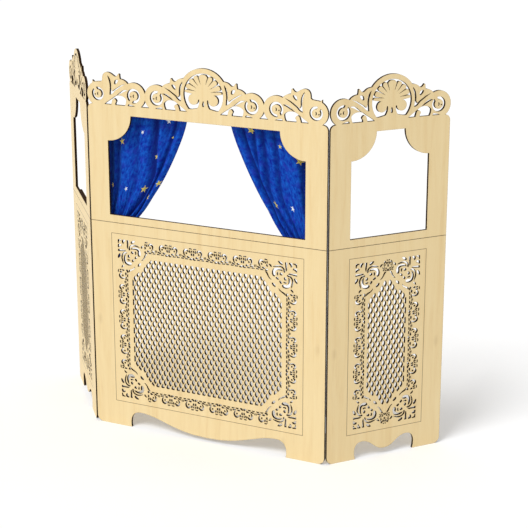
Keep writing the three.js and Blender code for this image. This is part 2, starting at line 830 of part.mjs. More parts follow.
function boards(name, width, pattern, paired, battenLength) {
  const group = new THREE.Group();
  const pins = [-panelGap / 2, width + panelGap / 2].slice(0, pattern.hingedEdges);
  const lower = slotted(lowerBoard(width, pattern), pins, [hinges.lower, hinges.middle]);
  const upper = slotted(upperBoard(width, paired), pins, [hinges.upper]);
  const joint = piece(`${name}_batten`, batten(battenLength), plywood());
  joint.position.set(width / 2, boardThickness + seat, seamHeight);
  group.add(
    piece(`${name}_lower_board`, lower, plywood()),
    piece(`${name}_upper_board`, upper, plywood()),
    joint,
  );
  return group;
}

// The centre's side of a hinge: its leaf with two knuckles, and the pin.
function fixedHingeHalf(name, height) {
  const group = new THREE.Group();
  const leaf = piece(`${name}_centre_leaf`, hingeLeaf([0, 2]), zincSteel());
  leaf.rotation.y = Math.PI;
  leaf.position.z = hingeHeight;
  group.add(leaf, piece(`${name}_pin`, hingePin(), zincSteel()));
  group.position.z = height - hingeHeight / 2;
  return group;
}

function wing(side) {
  const name = `${side}_wing`;
  const group = new THREE.Group();
  const panel = boards(name, wingWidth, wingPattern, false, wingBattenLength);
  panel.position.set(panelGap / 2, -boardThickness, 0);
  group.add(panel);
  for (const [place, height] of Object.entries(hinges)) {
    const leaf = piece(`${side}_${place}_hinge_wing_leaf`, hingeLeaf([1]), zincSteel());
    leaf.position.z = height - hingeHeight / 2;
    group.add(leaf);
  }
  group.rotation.z = foldAngle;
  return group;
}

// All that lies beyond the centre panel's edge, with the hinge axis at x = 0, y = 0.
function jointGroup(side) {
  const group = new THREE.Group();
  group.add(wing(side));
  for (const [place, height] of Object.entries(hinges)) {
    group.add(fixedHingeHalf(`${side}_${place}_hinge`, height));
  }
  group.position.set(
    sides[side] * (centreWidth + panelGap) / 2, boardThickness, 0,
  );
  group.scale.x = sides[side];
  return group;
}

function curtainFittings(side) {
  const group = new THREE.Group();
  const bracket = piece(`${side}_rod_bracket`, rodBracket(), beech());
  bracket.position.set(bracketInset, 0, rodLift);
  const band = piece(`${side}_curtain_strap`, strap(), blueCotton());
  band.position.set(tieInset, 0, tieLift - strapHeight / 2);
  group.add(bracket, band, piece(`${side}_curtain`, curtain(), blueCotton()));
  group.position.set(sides[side] * centreWidth / 2, boardThickness, 0);
  group.scale.x = -sides[side];
  return group;
}

function puppetTheaterStand() {
  const stand = new THREE.Group();
  const centre = boards("centre", centreWidth, centrePattern, true, centreBattenLength);
  centre.position.x = -centreWidth / 2;
  const rod = piece("curtain_rod", curtainRod(), beech());
  rod.position.set(0, boardThickness + rodBehind, rodLift);
  stand.add(centre, rod);
  for (const side of Object.keys(sides)) stand.add(jointGroup(side), curtainFittings(side));
  stand.position.y = -overallDepth / 2;
  return stand;
}

const part = new THREE.Group();
part.add(puppetTheaterStand());
export default part;
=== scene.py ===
"""A folding puppet theater stand in laser-cut birch plywood.

Two wings are hinged to a wide centre panel. Every panel is a pierced lower board under an upper
board with a window and a scrolled crest. Two star-printed curtains hang on a rod behind the
centre window. Metres, +Z up; the audience is on the -Y side.
"""
import json
import logging
import math
from dataclasses import dataclass
from enum import Enum
from functools import cache, partial

import bmesh
import bpy
from mathutils import Matrix, Vector


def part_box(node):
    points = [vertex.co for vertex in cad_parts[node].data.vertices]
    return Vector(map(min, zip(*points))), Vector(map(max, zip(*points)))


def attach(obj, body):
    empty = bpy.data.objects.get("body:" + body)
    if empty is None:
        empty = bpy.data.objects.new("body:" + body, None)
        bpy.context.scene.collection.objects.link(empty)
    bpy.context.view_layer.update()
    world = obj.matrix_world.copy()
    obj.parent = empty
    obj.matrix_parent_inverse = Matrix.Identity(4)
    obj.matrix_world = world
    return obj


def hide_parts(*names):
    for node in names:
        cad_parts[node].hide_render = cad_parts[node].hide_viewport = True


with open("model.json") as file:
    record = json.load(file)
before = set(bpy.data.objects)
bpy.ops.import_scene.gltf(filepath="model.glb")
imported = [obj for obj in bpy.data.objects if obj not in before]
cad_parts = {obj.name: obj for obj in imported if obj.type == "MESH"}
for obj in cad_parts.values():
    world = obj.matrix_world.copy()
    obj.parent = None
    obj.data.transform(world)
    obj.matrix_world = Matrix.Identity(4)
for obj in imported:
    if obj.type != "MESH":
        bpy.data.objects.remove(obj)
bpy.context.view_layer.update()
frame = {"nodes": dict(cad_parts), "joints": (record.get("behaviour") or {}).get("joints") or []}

log = logging.getLogger("puppet_theater")

MM = 0.001
PHOTO_SIDE = 528  # pixels, both ways
QUARTER = math.pi / 2
SEAT = 0.0003  # between a board's back and what is fixed to it
Point = tuple[float, float]
Loop = list[Point]
Place = tuple[Point, float, Point]
Mesh = bpy.types.Mesh
Piece = bpy.types.Object
Tree = bpy.types.NodeTree
Socket = bpy.types.NodeSocket


def linear(hex_colour: str) -> tuple[float, float, float, float]:
    """Turns an sRGB hex colour into Blender's linear one.

    Args:
        hex_colour: six digits after a hash sign.

    Returns:
        Red, green, blue and an alpha of 1.
    """
    channels = [int(hex_colour[i:i + 2], 16) / 255 for i in (1, 3, 5)]
    red, green, blue = (
        c / 12.92 if c <= 0.04045 else ((c + 0.055) / 1.055) ** 2.4 for c in channels
    )
    return red, green, blue, 1.0


def feed(tree: Tree, node: bpy.types.Node, inputs: dict) -> None:
    """Sets or links a node's inputs.

    Args:
        tree: the node's tree.
        node: the node.
        inputs: socket name or number to a value, an output socket, a list of sockets, or a
            sum: a tuple of a Math node's operation and its terms, which may be sums too.
    """
    for key, given in inputs.items():
        for value in given if isinstance(given, list) else [given]:
            if isinstance(value, tuple) and isinstance(value[0], str):
                operation, *terms = value
                value = add_node(tree, "ShaderNodeMath", *terms, operation=operation)
            if isinstance(value, Socket):
                tree.links.new(value, node.inputs[key])
            else:
                node.inputs[key].default_value = value


def add_node(
    tree: Tree, kind: str, *inputs: object, out: int | str | None = 0,
    stops: tuple[tuple[float, str], ...] = (), **settings: object,
) -> Socket:
    """Adds a node with its settings and links.

    Args:
        tree: the tree that gets the node.
        kind: the node's class name.
        inputs: what feed() takes, either one dict or the first inputs in order.
        out: the wanted output's name or number, or None for all of them.
        stops: a colour ramp's places from 0 to 1, with their hex colours.
        settings: the node's own properties.

    Returns:
        The wanted output socket, or all of them.
    """
    node = tree.nodes.new(kind)
    for name, value in settings.items():
        setattr(node, name, value)
    if stops:
        elements = node.color_ramp.elements
        while len(elements) < len(stops):
            elements.new(0.5)
        for element, (place, colour) in zip(elements, stops):
            element.position, element.color = place, linear(colour)
    by_name = inputs and isinstance(inputs[0], dict)
    feed(tree, node, inputs[0] if by_name else dict(enumerate(inputs)))
    return node.outputs if out is None else node.outputs[out]


def seen_rays(tree: Tree) -> tuple:
    """Picks out the rays that show a thing to the camera, straight or by gloss or glass.

    Args:
        tree: the material's or the world's tree.

    Returns:
        The sum that is 1 for those rays and 0 for the light that bounces on.
    """
    rays = add_node(tree, "ShaderNodeLightPath", out=None)
    return ("MAXIMUM", rays["Is Camera Ray"],
            ("MAXIMUM", rays["Is Glossy Ray"], rays["Is Transmission Ray"]))


class Finish:
    """A finish, made into one material the first time that it is asked for."""

    @cache
    def material(self) -> bpy.types.Material:
        """Makes the material from the finish's surface.

        Returns:
            The finish's material.
        """
        material = bpy.data.materials.new(self.name)
        material.use_nodes = True
        tree = material.node_tree
        feed(tree, tree.nodes["Principled BSDF"], self.surface(tree))
        return material

    @property
    def name(self) -> str:
        """Returns the material's name."""
        raise NotImplementedError

    def surface(self, tree: Tree) -> dict[str, object]:
        """Adds the finish's nodes and returns the Principled shader's inputs."""
        raise NotImplementedError


@dataclass(frozen=True)
class WhitePaper(Finish):
    """Matt white paper under the stand, pale grey in the light that it throws back."""

    bounce: float = 0.72

    @property
    def name(self) -> str:
        """Returns the material's name."""
        return "white_paper_floor"

    def surface(self, tree: Tree) -> dict[str, object]:
        """Adds the two whites.

        Args:
            tree: the material's tree.

        Returns:
            The Principled shader's inputs.
        """
        pale = (self.bounce, self.bounce, self.bounce, 1.0)
        colour = add_node(
            tree, "ShaderNodeMix", {0: seen_rays(tree), 6: pale, 7: (1.0, 1.0, 1.0, 1.0)},
            out=2, data_type="RGBA",
        )
        return {"Base Color": colour, "Roughness": 1.0, "Specular IOR Level": 0.0}


@dataclass(frozen=True)
class EngravedLine:
    """The burnt rectangle round the lace of a lower board, and the scorch along the seam."""

    middle: Point
    half_width: float
    half_height: float
    seam: float = 0.850
    width_mm: float = 2.2


@dataclass(frozen=True)
class SandedBirchPly(Finish):
    """Sanded birch face veneer under a thin clear coat.

    The face is pale and warm. Long soft streaks run up the board, with short fine pores, and
    here and there the faint grey swirl of a pin knot. A board may carry one thin line burnt into
    its front. The laser scorched a rim along every cut.
    """

    label: str
    line: EngravedLine | None = None
    pale: str = "#F8E0AC"
    middle: str = "#F4DAA4"
    dark: str = "#EDCF96"
    knot: str = "#A98A5C"
    burnt: str = "#5E4226"
    scorch: str = "#402812"
    streak_mm: float = 26.0
    pore_mm: float = 2.4
    knots_per_metre: Point = (5.5, 2.6)
    scorch_mm: float = 2.4
    rim_start: float = 0.985
    rim_full: float = 0.86
    roughness: float = 0.52

    @property
    def name(self) -> str:
        """Returns the material's name."""
        return f"sanded_birch_ply_{self.label}"

    def line_mask(self, tree: Tree, panel: Socket) -> tuple:
        """Adds the mask of the burnt line.

        Args:
            tree: the material's tree.
            panel: the board's own x and height.

        Returns:
            The sum that is 1 on the line and 0 beside it and behind.
        """
        line, apart = self.line, add_node(tree, "ShaderNodeSeparateXYZ", panel, out=None)
        beyond = [
            ("SUBTRACT", ("ABSOLUTE", ("SUBTRACT", apart[axis], middle)), half)
            for axis, middle, half in zip("XY", line.middle, (line.half_width, line.half_height))
        ]
        seam = ("ABSOLUTE", ("SUBTRACT", apart["Y"], line.seam))
        off = ("MINIMUM", ("ABSOLUTE", ("MAXIMUM", *beyond)), seam)
        half = line.width_mm * MM / 2
        near = add_node(tree, "ShaderNodeMapRange", off, half * 0.7, half * 1.2, 1.0, 0.0)
        depth = add_node(tree, "ShaderNodeAttribute", out="Fac", attribute_name="depth")
        return ("MULTIPLY", near, ("LESS_THAN", depth, 1e-4))

    def rim_mask(self, tree: Tree) -> Socket:
        """Adds the mask of the scorch, found where a rounded edge would lean from its face.

        Args:
            tree: the material's tree.

        Returns:
            The mask, from 0 on the open face to 0.9 at a cut.
        """
        rounded = add_node(tree, "ShaderNodeBevel", {"Radius": self.scorch_mm * MM}, samples=4)
        flat = add_node(tree, "ShaderNodeNewGeometry", out="True Normal")
        alike = add_node(
            tree, "ShaderNodeVectorMath", rounded, flat, out="Value", operation="DOT_PRODUCT"
        )
        return add_node(
            tree, "ShaderNodeMapRange", alike, self.rim_start, self.rim_full, 0.0, 0.9
        )

    def surface(self, tree: Tree) -> dict[str, object]:
        """Adds the veneer's figure and its burns.

        Args:
            tree: the material's tree.

        Returns:
            The Principled shader's inputs.
        """
        panel = add_node(tree, "ShaderNodeUVMap", out="UV", uv_map="panel")
        # A texture unit is one streak or pore across, and 16 or 24 of them along.
        wide, fine = 1 / (self.streak_mm * MM), 1 / (self.pore_mm * MM)
        along, across, apart = (
            add_node(tree, "ShaderNodeMapping", {"Vector": panel, "Scale": (x, y, 1)})
            for x, y in ((wide, wide / 16), (fine, fine / 24), self.knots_per_metre)
        )
        streaks = add_node(tree, "ShaderNodeTexNoise", {
            "Vector": along, "Scale": 1.0, "Detail": 4.0, "Roughness": 0.55, "Distortion": 0.6,
        })
        pores = add_node(tree, "ShaderNodeTexNoise", {
            "Vector": across, "Scale": 1.0, "Detail": 2.0, "Roughness": 0.5,
        })
        knots = add_node(
            tree, "ShaderNodeTexVoronoi", {"Vector": apart, "Scale": 1.0, "Randomness": 1.0},
            out="Distance", voronoi_dimensions="2D",
        )
        knot = add_node(tree, "ShaderNodeMapRange", knots, 0.02, 0.075, 1.0, 0.0)
        figure = ("ADD", ("MULTIPLY", streaks, 0.72), ("MULTIPLY", pores, 0.28))
        colour = add_node(
            tree, "ShaderNodeValToRGB", figure,
            stops=((0.3, self.dark), (0.47, self.middle), (0.66, self.pale)),
        )
        layers, height = [(("MULTIPLY", knot, 0.16), self.knot)], pores
        if self.line:
            mask = self.line_mask(tree, panel)
            layers.append((("MULTIPLY", mask, 0.85), self.burnt))
            height = ("SUBTRACT", pores, mask)
        layers.append((self.rim_mask(tree), self.scorch))
        for mask, tint in layers:
            colour = add_node(
                tree, "ShaderNodeMix", {0: mask, 6: colour, 7: linear(tint)}, out=2,
                data_type="RGBA",
            )
        bump = {"Height": height, "Strength": 0.25, "Distance": 0.15 * MM}
        return {
            "Base Color": colour, "Roughness": self.roughness, "IOR": 1.5,
            "Normal": add_node(tree, "ShaderNodeBump", bump), "Coat Weight": 0.06,
            "Coat Roughness": 0.4,
        }


@dataclass(frozen=True)
class LaserCharredEdge(Finish):
    """The edge of plywood cut by laser: charred brown, darkest on the cross plies."""

    char: str = "#1E1208"
    brown: str = "#3A2512"
    ply_mm: float = 1.43
    soot_mm: float = 6.25
    roughness: float = 0.8

    @property
    def name(self) -> str:
        """Returns the material's name."""
        return "laser_charred_ply_edge"

    def surface(self, tree: Tree) -> dict[str, object]:
        """Adds plies that alternate with the depth into the board, and patches of soot.

        Args:
            tree: the material's tree.

        Returns:
            The Principled shader's inputs.
        """
        depth = add_node(tree, "ShaderNodeAttribute", out="Fac", attribute_name="depth")
        panel = add_node(tree, "ShaderNodeUVMap", out="UV", uv_map="panel")
        plies = ("SINE", ("MULTIPLY", depth, math.pi / (self.ply_mm * MM)))
        soot = add_node(tree, "ShaderNodeTexNoise", {
            "Vector": panel, "Scale": 1 / (self.soot_mm * MM), "Detail": 3.0,
        })
        colour = add_node(
            tree, "ShaderNodeValToRGB", ("ADD", ("MULTIPLY", plies, 0.22), ("MULTIPLY", soot, 0.9)),
            stops=((0.2, self.char), (0.75, self.brown)),
        )
        return {"Base Color": colour, "Roughness": self.roughness, "Specular IOR Level": 0.06}


class Grain(Enum):
    """Which way a wooden piece's grain runs."""

    UPRIGHT = "upright"
    LEVEL = "level"


@dataclass(frozen=True)
class OiledBeech(Finish):
    """Oiled beech, turned or sawn: pinkish tan with short dark flecks along the grain."""

    grain: Grain
    light: str = "#D9B78A"
    deep: str = "#B98D5E"
    fleck_mm: float = 1.6
    fleck_length: float = 14.0
    roughness: float = 0.45

    @property
    def name(self) -> str:
        """Returns the material's name."""
        return f"oiled_beech_{self.grain.value}"

    def surface(self, tree: Tree) -> dict[str, object]:
        """Adds the flecks, many times as long as they are wide.

        Args:
            tree: the material's tree.

        Returns:
            The Principled shader's inputs.
        """
        size = 1 / (self.fleck_mm * MM)
        long = size / self.fleck_length
        scale = (long, size, size) if self.grain is Grain.LEVEL else (size, size, long)
        place = add_node(tree, "ShaderNodeTexCoord", out="Object")
        grain = add_node(tree, "ShaderNodeMapping", {"Vector": place, "Scale": scale})
        flecks = add_node(
            tree, "ShaderNodeTexNoise", {"Vector": grain, "Scale": 1.0, "Detail": 3.0}
        )
        colour = add_node(
            tree, "ShaderNodeValToRGB", flecks, stops=((0.35, self.deep), (0.6, self.light))
        )
        bump = {"Height": flecks, "Strength": 0.2, "Distance": 0.1 * MM}
        return {
            "Base Color": colour, "Normal": add_node(tree, "ShaderNodeBump", bump),
            "Roughness": self.roughness, "IOR": 1.5,
        }


@dataclass(frozen=True)
class ZincPlate(Finish):
    """Zinc-plated steel: pale cool grey, cloudy gloss and a faint spangle."""

    colour: str = "#C3C6C8"
    dull: str = "#B4B8BB"
    roughness: float = 0.34
    spangle_mm: float = 3.0

    @property
    def name(self) -> str:
        """Returns the material's name."""
        return "zinc_plated_steel"

    def surface(self, tree: Tree) -> dict[str, object]:
        """Adds the spangle, in the gloss and in the colour.

        Args:
            tree: the material's tree.

        Returns:
            The Principled shader's inputs.
        """
        place = add_node(tree, "ShaderNodeTexCoord", out="Object")
        clouds = add_node(tree, "ShaderNodeTexNoise", {
            "Vector": place, "Scale": 1 / (self.spangle_mm * MM), "Detail": 2.0,
        })
        rough = {
            "Value": clouds, "To Min": self.roughness - 0.08, "To Max": self.roughness + 0.12,
        }
        return {
            "Roughness": add_node(tree, "ShaderNodeMapRange", rough), "Metallic": 1.0,
            "Base Color": add_node(
                tree, "ShaderNodeValToRGB", clouds, stops=((0.3, self.dull), (0.7, self.colour))
            ),
        }


@dataclass(frozen=True)
class PrintedStar:
    """One small star of the cotton's print: its middle across and down the cut cloth."""

    across: float
    down: float
    radius: float
    tilt: float
    gold: bool


@cache
def star_group() -> Tree:
    """Builds the node group of a five-pointed star, once.

    Returns:
        The group, which is 1 inside the star and 0 outside.
    """
    group = bpy.data.node_groups.new("printed_star", "ShaderNodeTree")
    for label in ("X", "Y", "Radius", "Tilt"):
        group.interface.new_socket(label, in_out="INPUT", socket_type="NodeSocketFloat")
    group.interface.new_socket("Inside", in_out="OUTPUT", socket_type="NodeSocketFloat")
    given = add_node(group, "NodeGroupInput", out=None)
    x, y = given["X"], given["Y"]
    ray = ("PINGPONG", ("ADD", ("ARCTAN2", x, y), given["Tilt"]), math.pi / 5)
    reach = ("SQRT", ("ADD", ("POWER", x, 2.0), ("POWER", y, 2.0)))
    # A half ray's side is a straight line, here in polar form, from the tip to the inner corner.
    inner = 0.38
    inner_x, inner_y = inner * math.cos(math.pi / 5), inner * math.sin(math.pi / 5)
    side = ("DIVIDE", ("MULTIPLY", given["Radius"], inner_y), (
        "ADD", ("MULTIPLY", ("SINE", ray), 1 - inner_x), ("MULTIPLY", ("COSINE", ray), inner_y)))
    add_node(group, "NodeGroupOutput", {"Inside": ("LESS_THAN", reach, side)}, out=None)
    return group


@dataclass(frozen=True)
class BlueCotton(Finish):
    """Plain-woven cotton, dyed royal blue unevenly, with or without a print of small stars.

    The dye is cloudy, so light and dark patches a few centimetres wide show. The weave, a third
    of a millimetre in the cloth, is drawn at 1.2 mm so that it shows.
    """

    label: str
    stars: tuple[PrintedStar, ...] = ()
    deep: str = "#061294"
    blue: str = "#0A46B4"
    light: str = "#1A6CDA"
    violet: str = "#2C36B6"
    # Painted shade: the colour mixed into the folds' valleys, in place of the shade that falls
    # there.
    fold: str = "#051B70"
    gold: str = "#E6D470"
    white: str = "#F2F6FA"
    cloud_mm: float = 1000 / 66
    bloom_mm: float = 1000 / 34
    thread_mm: float = 1.2
    roughness: float = 0.82

    @property
    def name(self) -> str:
        """Returns the material's name."""
        return f"royal_blue_cotton_{self.label}"

    def surface(self, tree: Tree) -> dict[str, object]:
        """Adds the dye, the painted shade in the folds' valleys and the print, and the weave that
        follows the cloth.

        Args:
            tree: the material's tree.

        Returns:
            The Principled shader's inputs.
        """
        cloth = add_node(tree, "ShaderNodeUVMap", out="UV", uv_map="cloth")
        # The dye runs with the warp, so its clouds are a little longer than they are wide.
        turns = 1 / (self.thread_mm * MM)
        warp, threads = (
            add_node(tree, "ShaderNodeMapping", {"Vector": cloth, "Scale": scale})
            for scale in ((1.0, 0.7, 1.0), (turns, turns, 1))
        )
        dye = add_node(tree, "ShaderNodeTexNoise", {
            "Vector": warp, "Scale": 1 / (self.cloud_mm * MM), "Detail": 4.0, "Roughness": 0.6,
            "Distortion": 0.2,
        })
        bloom = add_node(tree, "ShaderNodeTexNoise", {
            "Vector": cloth, "Scale": 1 / (self.bloom_mm * MM), "Detail": 3.0,
        })
        colour = add_node(
            tree, "ShaderNodeValToRGB", dye,
            stops=((0.30, self.deep), (0.48, self.blue), (0.74, self.light)),
        )
        patch = add_node(tree, "ShaderNodeMapRange", bloom, 0.52, 0.68, 0.0, 0.55)
        # Painted shade: the fold attribute darkens the colour in the valleys of the folds.
        painted_shade_mask = add_node(tree, "ShaderNodeAttribute", out="Fac", attribute_name="fold")
        layers = [(patch, self.violet), (painted_shade_mask, self.fold)]
        apart = add_node(tree, "ShaderNodeSeparateXYZ", cloth, out=None)
        for star in self.stars:
            mask = add_node(tree, "ShaderNodeGroup", {
                "X": ("SUBTRACT", apart["X"], star.across),
                "Y": ("SUBTRACT", apart["Y"], star.down), "Radius": star.radius, "Tilt": star.tilt,
            }, node_tree=star_group())
            layers.append((mask, self.gold if star.gold else self.white))
        for mask, tint in layers:
            colour = add_node(
                tree, "ShaderNodeMix", {0: mask, 6: colour, 7: linear(tint)}, out=2,
                data_type="RGBA",
            )
        checks = add_node(
            tree, "ShaderNodeTexChecker", {"Vector": threads, "Scale": 1.0}, out="Fac"
        )
        slubs = add_node(
            tree, "ShaderNodeTexNoise", {"Vector": threads, "Scale": 0.7, "Detail": 2.0}
        )
        weave = ("ADD", ("MULTIPLY", checks, 0.4), ("MULTIPLY", slubs, 0.6))
        bump = {"Height": weave, "Strength": 0.35, "Distance": 0.2 * MM}
        return {
            "Base Color": colour, "Roughness": self.roughness,
            "Normal": add_node(tree, "ShaderNodeBump", bump), "Specular IOR Level": 0.12,
        }


def turned(direction: Vector, angle: float) -> Vector:
    """Returns a flat vector turned anticlockwise by an angle in radians."""
    cos, sin = math.cos(angle), math.sin(angle)
    return Vector((direction.x * cos - direction.y * sin, direction.x * sin + direction.y * cos))


def eased(
    loop: Loop, corner: float = math.radians(36), straight: float = 0.045, step: float = 0.0028
) -> Loop:
    """Rounds the facets of a closed outline and keeps its corners and long straights.

    Args:
        loop: the outline's points.
        corner: a turn sharper than this stays a corner.
        straight: a side longer than this stays straight.
        step: about how far apart the added points are.

    Returns:
        The outline with added points on smooth arcs.
    """
    points = [Vector(p) for p in loop]
    count = len(points)
    sides = [points[(i + 1) % count] - points[i] for i in range(count)]
    long = [side.length > straight for side in sides]
    turns = [
        math.atan2(before.x * after.y - before.y * after.x, before.dot(after))
        for before, after in zip([sides[-1]] + sides, sides)
    ]

    def lean(i: int) -> float | None:
        """Finds how the arc runs through a point.

        Args:
            i: the point's number.

        Returns:
            How far its direction turns from the side before, or None at a corner.
        """
        before, after, turn = sides[i - 1], sides[i], turns[i]
        if abs(turn) > corner:
            return None
        if long[i - 1]:
            return 0.0
        return turn if long[i] else turn * before.length / (before.length + after.length)

    result: Loop = []
    for i in range(count):
        start, side, end = points[i], sides[i], (i + 1) % count
        result.append(tuple(start))
        first, into = lean(i), lean(end)
        if long[i] or (first is None and into is None):
            continue
        out = -into if first is None else first - turns[i]
        into = -out if into is None else into
        steps = min(5, max(1, round(side.length / step)))
        reach = side.length / 3
        near = start + turned(side.normalized(), out) * reach
        far = points[end] - turned(side.normalized(), into) * reach
        for k in range(1, steps):
            t = k / steps
            s = 1 - t
            result.append(tuple(
                start * s ** 3 + near * (3 * s * s * t) + far * (3 * s * t * t)
                + points[end] * t ** 3
            ))
    return result


def signed_area(loop: Loop) -> float:
    """Measures an outline.

    Args:
        loop: the outline's points.

    Returns:
        Its area, positive where it runs anticlockwise.
    """
    return sum(
        x0 * y1 - x1 * y0 for (x0, y0), (x1, y1) in zip(loop, loop[1:] + loop[:1])
    ) / 2


def circle(middle: Point, radius: float, sides: int = 16) -> Loop:
    """Returns a round outline."""
    angles = [2 * math.pi * k / sides for k in range(sides)]
    return [(middle[0] + radius * math.cos(a), middle[1] + radius * math.sin(a)) for a in angles]


def rounded_rectangle(middle: Point, width: float, height: float, radius: float) -> Loop:
    """Draws a rectangle with round corners.

    Args:
        middle: its middle.
        width: its size along x.
        height: its size along y.
        radius: the corners' radius.

    Returns:
        The outline, anticlockwise.
    """
    points = []
    for quarter, (sx, sy) in enumerate(((1, 1), (-1, 1), (-1, -1), (1, -1))):
        cx = middle[0] + sx * (width / 2 - radius)
        cy = middle[1] + sy * (height / 2 - radius)
        for k in range(7):
            angle = QUARTER * (quarter + k / 6)
            points.append((cx + radius * math.cos(angle), cy + radius * math.sin(angle)))
    return points


def plain_object(name: str, mesh: Mesh) -> Piece:
    """Links a mesh into the scene as an object at the origin.

    Args:
        name: the object's name.
        mesh: its mesh.

    Returns:
        The object.
    """
    piece = bpy.data.objects.new(name, mesh)
    bpy.context.scene.collection.objects.link(piece)
    return piece


def keep(piece: Piece, body: str, slot: str, *nodes: str) -> None:
    """Rides a piece on its body and puts it in its CAD nodes' place.

    Args:
        piece: the finished piece.
        body: the CAD body that it rides on.
        slot: the record's material slot; not used.
        nodes: the CAD nodes that it replaces, if any.
    """
    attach(piece, body)
    if nodes:
        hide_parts(*nodes)
    log.info("%s: %d faces", piece.name, len(piece.data.polygons))


def outline_object(name: str, loops: list[Loop]) -> Piece:
    """Makes an object of closed rings of edges, in a board's own x and y.

    Args:
        name: the object's name.
        loops: the rings.

    Returns:
        The object.
    """
    vertices, edges = [], []
    for loop in loops:
        first = len(vertices)
        vertices += [(x, y, 0) for x, y in loop]
        edges += [(first + k, first + (k + 1) % len(loop)) for k in range(len(loop))]
    mesh = bpy.data.meshes.new(name)
    mesh.from_pydata(vertices, edges, [])
    return plain_object(name, mesh)


def places_object(name: str, places: list[Place]) -> Piece:
    """Makes loose points for instancing, each with its turn and its size along x and y.

    Args:
        name: the object's name.
        places: each point's place, turn and size.

    Returns:
        The points' object.
    """
    mesh = bpy.data.meshes.new(name)
    mesh.from_pydata([(x, y, 0) for (x, y), _, _ in places], [], [])
    turns, sizes = (
        mesh.attributes.new(label, "FLOAT_VECTOR", "POINT") for label in ("turn", "size")
    )
    for i, (_, turn, size) in enumerate(places):
        turns.data[i].vector = (0, 0, turn)
        sizes.data[i].vector = (*size, 1)
    return plain_object(name, mesh)


def mesh_of(work: bmesh.types.BMesh, name: str) -> Mesh:
    """Turns a bmesh into a mesh and frees it.

    Args:
        work: the bmesh.
        name: the mesh's name.

    Returns:
        The mesh.
    """
    mesh = bpy.data.meshes.new(name)
    work.to_mesh(mesh)
    work.free()
    return mesh


def evaluated_mesh(piece: Piece) -> Mesh:
    """Turns an object's modifiers into one plain mesh, now its own, and takes them off.

    Args:
        piece: the object.

    Returns:
        Its new mesh.
    """
    graph = bpy.context.evaluated_depsgraph_get()
    mesh = bpy.data.meshes.new_from_object(piece.evaluated_get(graph), depsgraph=graph)
    piece.modifiers.clear()
    piece.data = mesh
    return mesh


def through_tree(piece: Piece, tree: Tree, values: dict[str, object]) -> Mesh:
    """Sends an object through a Geometry Nodes tree and keeps the result as its mesh.

    Args:
        piece: the object.
        tree: the tree.
        values: the tree's inputs by name.

    Returns:
        The plain mesh.
    """
    modifier = piece.modifiers.new(tree.name, "NODES")
    modifier.node_group = tree
    for item in tree.interface.items_tree:
        if item.item_type == "SOCKET" and item.in_out == "INPUT" and item.name in values:
            modifier[item.identifier] = values[item.name]
    return evaluated_mesh(piece)


def new_geometry_tree(name: str, inputs: dict[str, str]) -> tuple[Tree, dict]:
    """Starts a Geometry Nodes tree.

    Args:
        name: the tree's name.
        inputs: each named input and its kind, such as Float or Object.

    Returns:
        The tree, and its inputs' output sockets by name.
    """
    tree = bpy.data.node_groups.new(name, "GeometryNodeTree")
    tree.is_modifier = True
    tree.interface.new_socket("Geometry", in_out="INPUT", socket_type="NodeSocketGeometry")
    for label, kind in inputs.items():
        tree.interface.new_socket(label, in_out="INPUT", socket_type=f"NodeSocket{kind}")
    tree.interface.new_socket("Geometry", in_out="OUTPUT", socket_type="NodeSocketGeometry")
    return tree, add_node(tree, "NodeGroupInput", out=None)


def instanced(tree: Tree, places: Socket, shape: Socket) -> Socket:
    """Instances a shape on loose points by their turn and size, and makes it real.

    Args:
        tree: the Geometry Nodes tree.
        places: the points.
        shape: the shape.

    Returns:
        The real copies.
    """
    turn, size = (
        add_node(tree, "GeometryNodeInputNamedAttribute", {"Name": label}, out="Attribute",
                 data_type="FLOAT_VECTOR")
        for label in ("turn", "size")
    )
    placed = add_node(tree, "GeometryNodeInstanceOnPoints", {
        "Points": places, "Instance": shape, "Scale": size,
        "Rotation": add_node(tree, "FunctionNodeEulerToRotation", turn),
    })
    return add_node(tree, "GeometryNodeRealizeInstances", placed)


